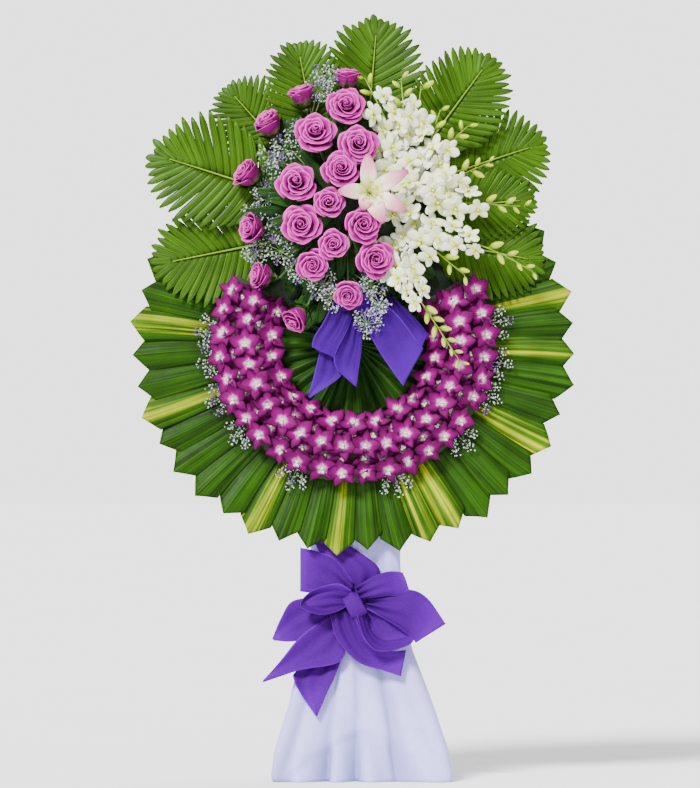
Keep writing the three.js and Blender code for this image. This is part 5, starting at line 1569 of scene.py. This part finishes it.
# The inner faces of the open loops and the layer behind the knot
LOWER_LININGS = (
    (
        ((-2, 382, 22), (-34, 392, 24), (-66, 386, 26), (-88, 370, 28), (-98, 354, 34)),
        ((0, 346, 22), (-34, 344, 24), (-60, 340, 28), (-82, 342, 30), (-98, 350, 34)),
    ),
    (
        ((18, 350, 18), (24, 322, 20), (34, 292, 20), (54, 270, 20), (84, 262, 22)),
        ((28, 352, 18), (62, 334, 18), (90, 312, 18), (106, 298, 20), (120, 282, 26)),
    ),
    (
        ((-34, 388, 9), (-58, 350, 9), (-64, 310, 9), (-52, 272, 9)),
        ((36, 388, 9), (46, 350, 9), (36, 310, 9), (10, 268, 9)),
    ),
)
# The knot's middle, as x, z and its distance from the cloth, its half sizes and its turn
LOWER_KNOT = (5, 351, 43)
LOWER_KNOT_HALF = (17, 16, 27)
LOWER_KNOT_TURN = math.radians(-153)
# A ribbon that runs out and back as a loop has this many stations on each edge
LOOP_STATIONS = 9


def knot(sheets, centre, half, turn):
    """The pinched middle of a bow: a short fold of ribbon rolled over the gathers."""
    u, v = lattice(12, 20)
    angle = math.pi * (1.08 + 1.84 * v)
    x, y, z = half
    flare = 1 - 0.22 * u**2
    side, depth, up = x * u, -y * np.cos(angle) * flare, z * np.sin(angle) * flare + 2 * np.sin(5 * u)
    c, s = math.cos(turn), math.sin(turn)
    turned = np.stack([side * c - up * s, depth, side * s + up * c], axis=2)
    sheets.sheet(turned + np.array(centre), u * 0.85, v, 0.5, RIBBON, 1.0)
    return 2 * x * math.pi * (y + z)


def make_lower_bow():
    """The large purple bow on the skirt."""
    sheets = Sheets()
    area = 0
    for number, (left, right) in enumerate(LOWER_RIBBONS):
        form = {"gather": 4.5, "bulge": 8.0}
        if len(left) == LOOP_STATIONS:
            form = {"gather": 1.2, "bulge": -2.0, "along": 48}
        area += ribbon(sheets, bow_edge(left), bow_edge(right), phase=number * 1.3, **form)
    for left, right in LOWER_LININGS:
        area += ribbon(sheets, bow_edge(left), bow_edge(right), gather=4.0, bulge=-3.0)
    x, z, out = LOWER_KNOT
    area += knot(sheets, (x, skirt_front(z) - out, z), LOWER_KNOT_HALF, LOWER_KNOT_TURN)
    colour = colours().lower_ribbon
    material = cloth_finish("Purple Ribbon", colour, tinted(colour, 0.6), 260.0, 0.62)
    obj = sheets.piece("skirt_bow", [material], "lower_ribbon", ["lower_bow"], Matrix.Identity(4))


# The ribbons of the bow under the roses, in the leaning plane: edges as (x, depth, height)
UPPER_RIBBONS = (
    (
        ((-34, -98, 957), (-58, -106, 910), (-76, -104, 882), (-80, -96, 862), (-70, -88, 872)),
        ((4, -102, 930), (-12, -112, 890), (-28, -110, 858), (-36, -100, 838), (-30, -90, 850)),
    ),
    (
        ((-62, -84, 880), (-66, -86, 850), (-76, -84, 808), (-88, -80, 764)),
        ((-30, -84, 870), (-26, -86, 838), (-22, -84, 806), (-84, -80, 762)),
    ),
    (
        ((-6, -100, 930), (-22, -104, 876), (-36, -100, 840), (-28, -98, 816), (6, -94, 784)),
        ((22, -98, 926), (19, -104, 860), (15, -104, 826), (12, -100, 806), (9, -94, 783)),
    ),
    (
        ((66, -90, 964), (92, -94, 920), (116, -92, 886), (138, -88, 860)),
        ((84, -88, 966), (118, -90, 930), (142, -88, 904), (152, -86, 890)),
    ),
    (
        ((14, -102, 930), (38, -108, 880), (66, -106, 834), (102, -96, 784)),
        ((50, -104, 962), (90, -116, 926), (120, -112, 888), (142, -100, 859)),
    ),
)
UPPER_KNOT = (2, -100, 950)
UPPER_KNOT_HALF = (14, 17, 18)
UPPER_KNOT_TURN = math.radians(70)
PICK_DEPTH = -80


def make_upper_bow():
    """The violet bow under the roses."""
    sheets = Sheets()
    area = 0
    for number, (left, right) in enumerate(UPPER_RIBBONS):
        area += ribbon(sheets, left, right, gather=4.5, bulge=6.0, phase=number * 2.1)
    start = np.array(UPPER_KNOT, float)
    for reach in (36, -34):
        end = start + [reach, 2, 4]
        middle = (start + end) / 2
        upper = [start + [0, -4, 16], middle + [0, -6, 16], end + [0, 0, 12]]
        lower = [start + [0, -4, -14], middle + [0, -6, -18], end + [0, 0, -18]]
        area += ribbon(sheets, upper, lower)
    area += knot(sheets, UPPER_KNOT, UPPER_KNOT_HALF, UPPER_KNOT_TURN)
    foam_base = FOAM_MIDDLE[1] - FOAM_HALF[1] - 0.4
    pick = [(UPPER_KNOT[0], PICK_DEPTH, UPPER_KNOT[2]), (UPPER_KNOT[0], PICK_DEPTH, foam_base)]
    sheets.tube(pick, [2.6, 2.6], 8, 0.5, PICK)
    colour = colours().upper_ribbon
    material = cloth_finish("Violet Ribbon", colour, tinted(colour, 0.6), 260.0, 0.58)
    wood = wood_finish("Pick Wood", (0.45, 0.33, 0.18), (1, 1, 0.1), 0.6)
    obj = sheets.piece("head_bow", [material, wood], "upper_ribbon", ["upper_bow"])


# Skirt


# Height, half width, how far the cloth stands before the front poles and behind the rear one, and its waves
SKIRT_LEVELS = (
    (0, 186, 62, 46, 10),
    (60, 176, 50, 40, 10),
    (150, 146, 30, 26, 8),
    (260, 114, 12, 12, 5),
    (362, 97, 6, 6, 1.5),
    (440, 93, 6, 6, 2.5),
    (536, 92, 6, 6, 3.5),
)
SKIRT_HEM = 0.4
SKIRT_TOP = 536
SKIRT_COLUMNS = 288
SKIRT_ROWS = 72
# How much narrower the outline is at the rear, and the size of its corners
SKIRT_NARROWING = 0.66
SKIRT_CORNER = 26
# Behind the leaning plane's foot line: the front poles' face, the rear pole's foot and its head
POLE_FRONT = 10
REAR_FOOT = 275
REAR_HEAD = 42 + 1092 * math.tan(LEAN)
REAR_HEAD_HEIGHT = 1090
REAR_REACH = 13
# Where the fan of folds on the front starts, and where the cloth begins to hang free
FAN_X = 4
FAN_TOP = 470
FAN_LIMIT = 400
DROP_TOP = 440


def skirt_measures(z):
    """The measures of the skirt's levels at any height between them."""
    heights, *columns = zip(*SKIRT_LEVELS)
    return [np.interp(z, heights, column) for column in columns]


def skirt_outline(half, front, rear):
    """The outline round the easel's feet: a trapezium with rounded corners, from the middle of its front."""
    narrow, corner = half * SKIRT_NARROWING, SKIRT_CORNER
    sides = [
        ((0, front), (half - corner, front)),
        ((half - corner, front), (half, front), (half - 2, front + corner)),
        ((half - 2, front + corner), (narrow + 6, rear - corner * 1.6)),
        ((narrow + 6, rear - corner * 1.6), (narrow, rear), (narrow - corner * 1.3, rear)),
        ((narrow - corner * 1.3, rear), (0, rear)),
    ]
    t = np.linspace(0, 1, 9)[:, None]
    points = []
    for side in sides:
        a, b = np.array(side[0], float), np.array(side[-1], float)
        turn = np.array(side[1], float) if len(side) == 3 else (a + b) / 2
        points.append((a * (1 - t) ** 2 + turn * 2 * t * (1 - t) + b * t**2)[:-1])
    right = np.vstack([*points, [[0, rear]]])
    return np.vstack([right, right[-2::-1] * [-1, 1]])


def skirt_ring(z):
    """The cloth's line round the easel at one height, in the row frame, in millimetres, with its shade."""
    half, forward, behind, fold = skirt_measures(z)
    front = PLANE_Y + POLE_FRONT + z * math.tan(LEAN) - forward
    rear = PLANE_Y + REAR_FOOT + (REAR_HEAD - REAR_FOOT) * z / REAR_HEAD_HEIGHT + REAR_REACH + behind
    path = skirt_outline(half, front, rear)
    reached = lengths_along(path)
    places = (np.linspace(0, reached[-1], SKIRT_COLUMNS, endpoint=False) + reached[-1] / 2) % reached[-1]
    x, y = np.interp(places, reached, path[:, 0]), np.interp(places, reached, path[:, 1])
    t = places / reached[-1] * math.tau
    middle = (front + rear) / 2
    out = np.stack([x, y - middle], axis=1)
    out /= np.linalg.norm(out, axis=1, keepdims=True)
    drop = np.clip((DROP_TOP - z) / DROP_TOP, 0, 1)
    before = np.clip(-(y - middle) / (middle - front) * 2.4 - 1.2, 0, 1)
    fan_x, fan_z = x - FAN_X, FAN_TOP - min(z, FAN_LIMIT)
    fan = np.arctan2(fan_x, fan_z)
    reach = np.hypot(fan_x, fan_z) / FAN_TOP
    level = 1 - np.clip(np.abs(x) / half, 0, 1) ** 4
    rays = np.abs(np.sin(fan * 15 + 0.8 * np.sin(fan * 7 + 1))) * 2 - 1
    folds = rays + 0.35 * np.sin(fan * 43 + 1 + z / 70)
    hang = np.sin(t * 13 + z / 80) + 0.5 * np.sin(t * 23 - z / 60 + 1)
    wave = fold * (0.5 + 0.5 * np.sin(t * 6 + z / 90)) * (1 - before)
    wave += (folds - 1) * before * level * (0.8 + 15 * reach**2 * drop**0.5)
    wave += (hang - 0.5) * (1 - before) * 6.0 * (0.2 + 0.8 * drop)
    arch = 14 + 96 * np.clip(1 - (np.abs(x - 6) / 172) ** 1.5, 0, 1) - z
    wave -= before * 11.0 * np.clip(arch / 20, 0, 1) ** 1.3
    # Painted shade: the tone rises under the gathered arch, in the valleys between the front's folds and
    # between the hanging folds at the sides, and the cloth finish paints it darker.
    under_arch = 0.3 * (np.clip(arch / 30, 0, 1) - 0.5)
    front_shade = np.clip(0.5 - 0.42 * folds * drop**0.5 + under_arch, 0, 1)
    painted_crease_shade = front_shade * before + np.clip(0.5 - 0.4 * hang, 0, 1) * (1 - before)
    line = np.stack([x, y], axis=1) + out * (wave - 0.5)[:, None]
    drift = np.interp(z, (0, 150, 260, 362, SKIRT_TOP), (20, 18, 10, 6, 8))
    return np.column_stack([line[:, 0] + drift + PLANE_X, line[:, 1], np.full(SKIRT_COLUMNS, z), painted_crease_shade])


def make_skirt():
    """The pale cloth gathered round the easel, open at the hem and the top."""
    rings = np.array([skirt_ring(z) for z in np.linspace(SKIRT_HEM, SKIRT_TOP, SKIRT_ROWS + 1)])
    rings = np.concatenate([rings, rings[:, :1]], axis=1)
    # The fourth column is the painted crease shade, which the cloth finish reads as the tone.
    points, painted_crease_shade = rings[..., :3], rings[..., 3]
    u, v = lattice(SKIRT_COLUMNS, SKIRT_ROWS)
    sheets = Sheets()
    sheets.sheet(points, u, v, painted_crease_shade, thick=0.9)
    colour = colours().skirt
    material = cloth_finish("Skirt Cloth", colour, tinted(colour, 0.8), 190.0, 0.8, gathered=False)
    obj = sheets.piece("skirt_cloth", [material], "skirt_cloth", ["skirt"], Matrix.Identity(4))


# Carried-over pieces and the stage


def dress(nodes, material):
    """Gives the solids carried over from the frame their finish."""
    for name in nodes:
        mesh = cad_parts[name].data
        mesh.materials.clear()
        mesh.materials.append(material)


def make_easel():
    """Finishes for the poles, slats, backing board and floral foam, whose solids are the finished shapes."""
    bamboo = wood_finish("Bamboo", (0.3, 0.22, 0.08), (1, 1, 0.08), 0.42)
    dress(("leg_left", "leg_right", "leg_rear"), bamboo)
    sawn = wood_finish("Sawn Wood", (0.3, 0.19, 0.1), (0.1, 1, 1), 0.65)
    dress(("slat_high", "slat_low", "spreader"), sawn)
    backing = plain_finish("Backing Foam", (0.008, 0.025, 0.007), 40, 0.4, rough=0.85, bump=0.002)
    dress(("board",), backing)
    foam = plain_finish("Floral Foam", (0.012, 0.045, 0.012), 90, 0.4, rough=0.95, bump=0.002)
    dress(("foam_block",), foam)


IMAGE_HEIGHT_MM = 1576
IMAGE_MIDDLE = Vector((-4.4, 0, 774)) * MM
FRONT_DEPTH = -0.13
SENSOR_WIDTH = 36
FLOOR_SIZE = 60
SOFT_LIGHT = 0.95
BACKDROP_LIGHT = 3.2
# Each sun's direction, strength and apparent size in degrees
SUNS = {"key": ((-0.45, -0.8, 0.8), 8.5, 16), "rim": ((0.6, 0.9, 0.6), 2.0, 40)}


def soft_sun(name, towards, strength, spread):
    """A broad, even light from a direction, with soft shadows."""
    data = bpy.data.lights.new(name, "SUN")
    data.energy = strength
    data.angle = math.radians(spread)
    light = bpy.data.objects.new(name, data)
    bpy.context.collection.objects.link(light)
    light.rotation_euler = Vector(towards).to_track_quat("Z", "Y").to_euler()
    light.location = Vector(towards) * 4


def studio_world():
    """Soft white light from all round, with a brighter backdrop for the camera alone."""
    world = bpy.data.worlds.new("Studio")
    world.use_nodes = True
    tree = world.node_tree
    soft = tree.nodes["Background"]
    soft.inputs["Color"].default_value = (1, 1, 1, 1)
    soft.inputs["Strength"].default_value = SOFT_LIGHT
    bright = tree.nodes.new("ShaderNodeBackground")
    bright.inputs["Strength"].default_value = BACKDROP_LIGHT
    rays = tree.nodes.new("ShaderNodeLightPath")
    blend = tree.nodes.new("ShaderNodeMixShader")
    tree.links.new(rays.outputs["Is Camera Ray"], blend.inputs[0])
    tree.links.new(soft.outputs[0], blend.inputs[1])
    tree.links.new(bright.outputs[0], blend.inputs[2])
    tree.links.new(blend.outputs[0], tree.nodes["World Output"].inputs["Surface"])
    return world


def make_stage():
    """A white floor, soft studio light and the camera at the photograph's angle."""
    bpy.ops.object.select_all(action="DESELECT")
    bpy.ops.mesh.primitive_plane_add(size=FLOOR_SIZE, location=(0, 0, 0))
    floor = bpy.context.active_object
    floor.name = "floor"
    paper = Finish("Studio Floor", roughness=0.95, specular_ior_level=0.1)
    grain = paper.group(mottle_group(), Color=(0.93, 0.93, 0.93, 1), Scale=2.0, Amount=0.02)
    floor.data.materials.append(paper.done(grain.outputs["Color"]))
    bpy.context.scene.world = studio_world()
    for name, (towards, strength, spread) in SUNS.items():
        soft_sun(name, towards, strength, spread)
    distance = sizes().camera_distance
    data = bpy.data.cameras.new("camera")
    data.sensor_width = SENSOR_WIDTH
    data.lens = SENSOR_WIDTH * distance / (IMAGE_HEIGHT_MM * MM)
    camera = bpy.data.objects.new("camera", data)
    bpy.context.collection.objects.link(camera)
    camera.location = (IMAGE_MIDDLE.x, FRONT_DEPTH - distance, IMAGE_MIDDLE.z)
    camera.rotation_euler = (math.pi / 2, 0, 0)
    data.clip_end = 100
    bpy.context.scene.camera = camera


# Operators, panel and registration


class WREATH_OT_easel(bpy.types.Operator):
    """Finish the easel, the backing board and the foam"""

    bl_idname = "wreath.easel"
    bl_label = "Finish Easel and Board"

    def execute(self, context):
        make_easel()
        return {"FINISHED"}


class WREATH_OT_skirt(bpy.types.Operator):
    """Model the cloth skirt round the easel"""

    bl_idname = "wreath.skirt"
    bl_label = "Model Skirt"

    def execute(self, context):
        make_skirt()
        return {"FINISHED"}


class WREATH_OT_lower_bow(bpy.types.Operator):
    """Model the large bow on the skirt"""

    bl_idname = "wreath.lower_bow"
    bl_label = "Model Skirt Bow"

    def execute(self, context):
        make_lower_bow()
        return {"FINISHED"}


class WREATH_OT_ring_leaves(bpy.types.Operator):
    """Model the folded leaves round the ring"""

    bl_idname = "wreath.ring_leaves"
    bl_label = "Model Ring Leaves"

    def execute(self, context):
        make_ring_leaves()
        return {"FINISHED"}


class WREATH_OT_lining(bpy.types.Operator):
    """Model the pleated leaf in the ring's middle"""

    bl_idname = "wreath.lining"
    bl_label = "Model Lining"

    def execute(self, context):
        make_lining()
        return {"FINISHED"}


class WREATH_OT_roll(bpy.types.Operator):
    """Model the moss roll and its sprigs"""

    bl_idname = "wreath.roll"
    bl_label = "Model Moss Roll"

    def execute(self, context):
        make_moss_roll()
        return {"FINISHED"}


class WREATH_OT_orchids(bpy.types.Operator):
    """Model the magenta orchids"""

    bl_idname = "wreath.orchids"
    bl_label = "Model Orchids"

    def execute(self, context):
        make_orchids()
        return {"FINISHED"}


class WREATH_OT_fronds(bpy.types.Operator):
    """Model the palm fronds"""

    bl_idname = "wreath.fronds"
    bl_label = "Model Palm Fronds"

    def execute(self, context):
        make_fronds()
        return {"FINISHED"}


class WREATH_OT_roses(bpy.types.Operator):
    """Model the rose heads"""

    bl_idname = "wreath.roses"
    bl_label = "Model Roses"

    def execute(self, context):
        make_roses()
        return {"FINISHED"}


class WREATH_OT_greenery(bpy.types.Operator):
    """Model the rose stems, sepals and filler leaves"""

    bl_idname = "wreath.greenery"
    bl_label = "Model Stems and Leaves"

    def execute(self, context):
        make_greenery()
        return {"FINISHED"}


class WREATH_OT_lily(bpy.types.Operator):
    """Model the lily"""

    bl_idname = "wreath.lily"
    bl_label = "Model Lily"

    def execute(self, context):
        make_lily()
        return {"FINISHED"}


class WREATH_OT_sprays(bpy.types.Operator):
    """Model the sprays of white orchids"""

    bl_idname = "wreath.sprays"
    bl_label = "Model White Sprays"

    def execute(self, context):
        make_white_sprays()
        return {"FINISHED"}


class WREATH_OT_statice(bpy.types.Operator):
    """Model the statice"""

    bl_idname = "wreath.statice"
    bl_label = "Model Statice"

    def execute(self, context):
        make_statice()
        return {"FINISHED"}


class WREATH_OT_upper_bow(bpy.types.Operator):
    """Model the bow under the roses"""

    bl_idname = "wreath.upper_bow"
    bl_label = "Model Head Bow"

    def execute(self, context):
        make_upper_bow()
        return {"FINISHED"}


class WREATH_OT_stage(bpy.types.Operator):
    """Set the floor, the lights and the camera"""

    bl_idname = "wreath.stage"
    bl_label = "Set Stage"

    def execute(self, context):
        make_stage()
        return {"FINISHED"}


OPERATORS = (
    WREATH_OT_stage,
    WREATH_OT_easel,
    WREATH_OT_skirt,
    WREATH_OT_lower_bow,
    WREATH_OT_ring_leaves,
    WREATH_OT_lining,
    WREATH_OT_roll,
    WREATH_OT_orchids,
    WREATH_OT_fronds,
    WREATH_OT_roses,
    WREATH_OT_greenery,
    WREATH_OT_lily,
    WREATH_OT_sprays,
    WREATH_OT_statice,
    WREATH_OT_upper_bow,
)


class WREATH_PT_panel(bpy.types.Panel):
    """The wreath's sizes, colours and steps"""

    bl_idname = "WREATH_PT_panel"
    bl_label = "Funeral Wreath"
    bl_space_type = "VIEW_3D"
    bl_region_type = "UI"
    bl_category = "Wreath"

    def draw(self, context):
        column = self.layout.column(align=True)
        for settings in (context.scene.wreath_sizes, context.scene.wreath_colours):
            for name in settings.__annotations__:
                column.prop(settings, name)
        for operator in OPERATORS:
            column.operator(operator.bl_idname)


CLASSES = (WREATH_PG_sizes, WREATH_PG_colours, *OPERATORS, WREATH_PT_panel)


def register():
    for cls in CLASSES:
        bpy.utils.register_class(cls)
    bpy.types.Scene.wreath_sizes = bpy.props.PointerProperty(type=WREATH_PG_sizes)
    bpy.types.Scene.wreath_colours = bpy.props.PointerProperty(type=WREATH_PG_colours)


def unregister():
    del bpy.types.Scene.wreath_colours
    del bpy.types.Scene.wreath_sizes
    for cls in reversed(CLASSES):
        bpy.utils.unregister_class(cls)


def main():
    register()
    for operator in OPERATORS:
        group, name = operator.bl_idname.split(".")
        if getattr(getattr(bpy.ops, group), name)() != {"FINISHED"}:
            raise RuntimeError(f"{operator.bl_label} did not finish")


if __name__ == "__main__":
    main()
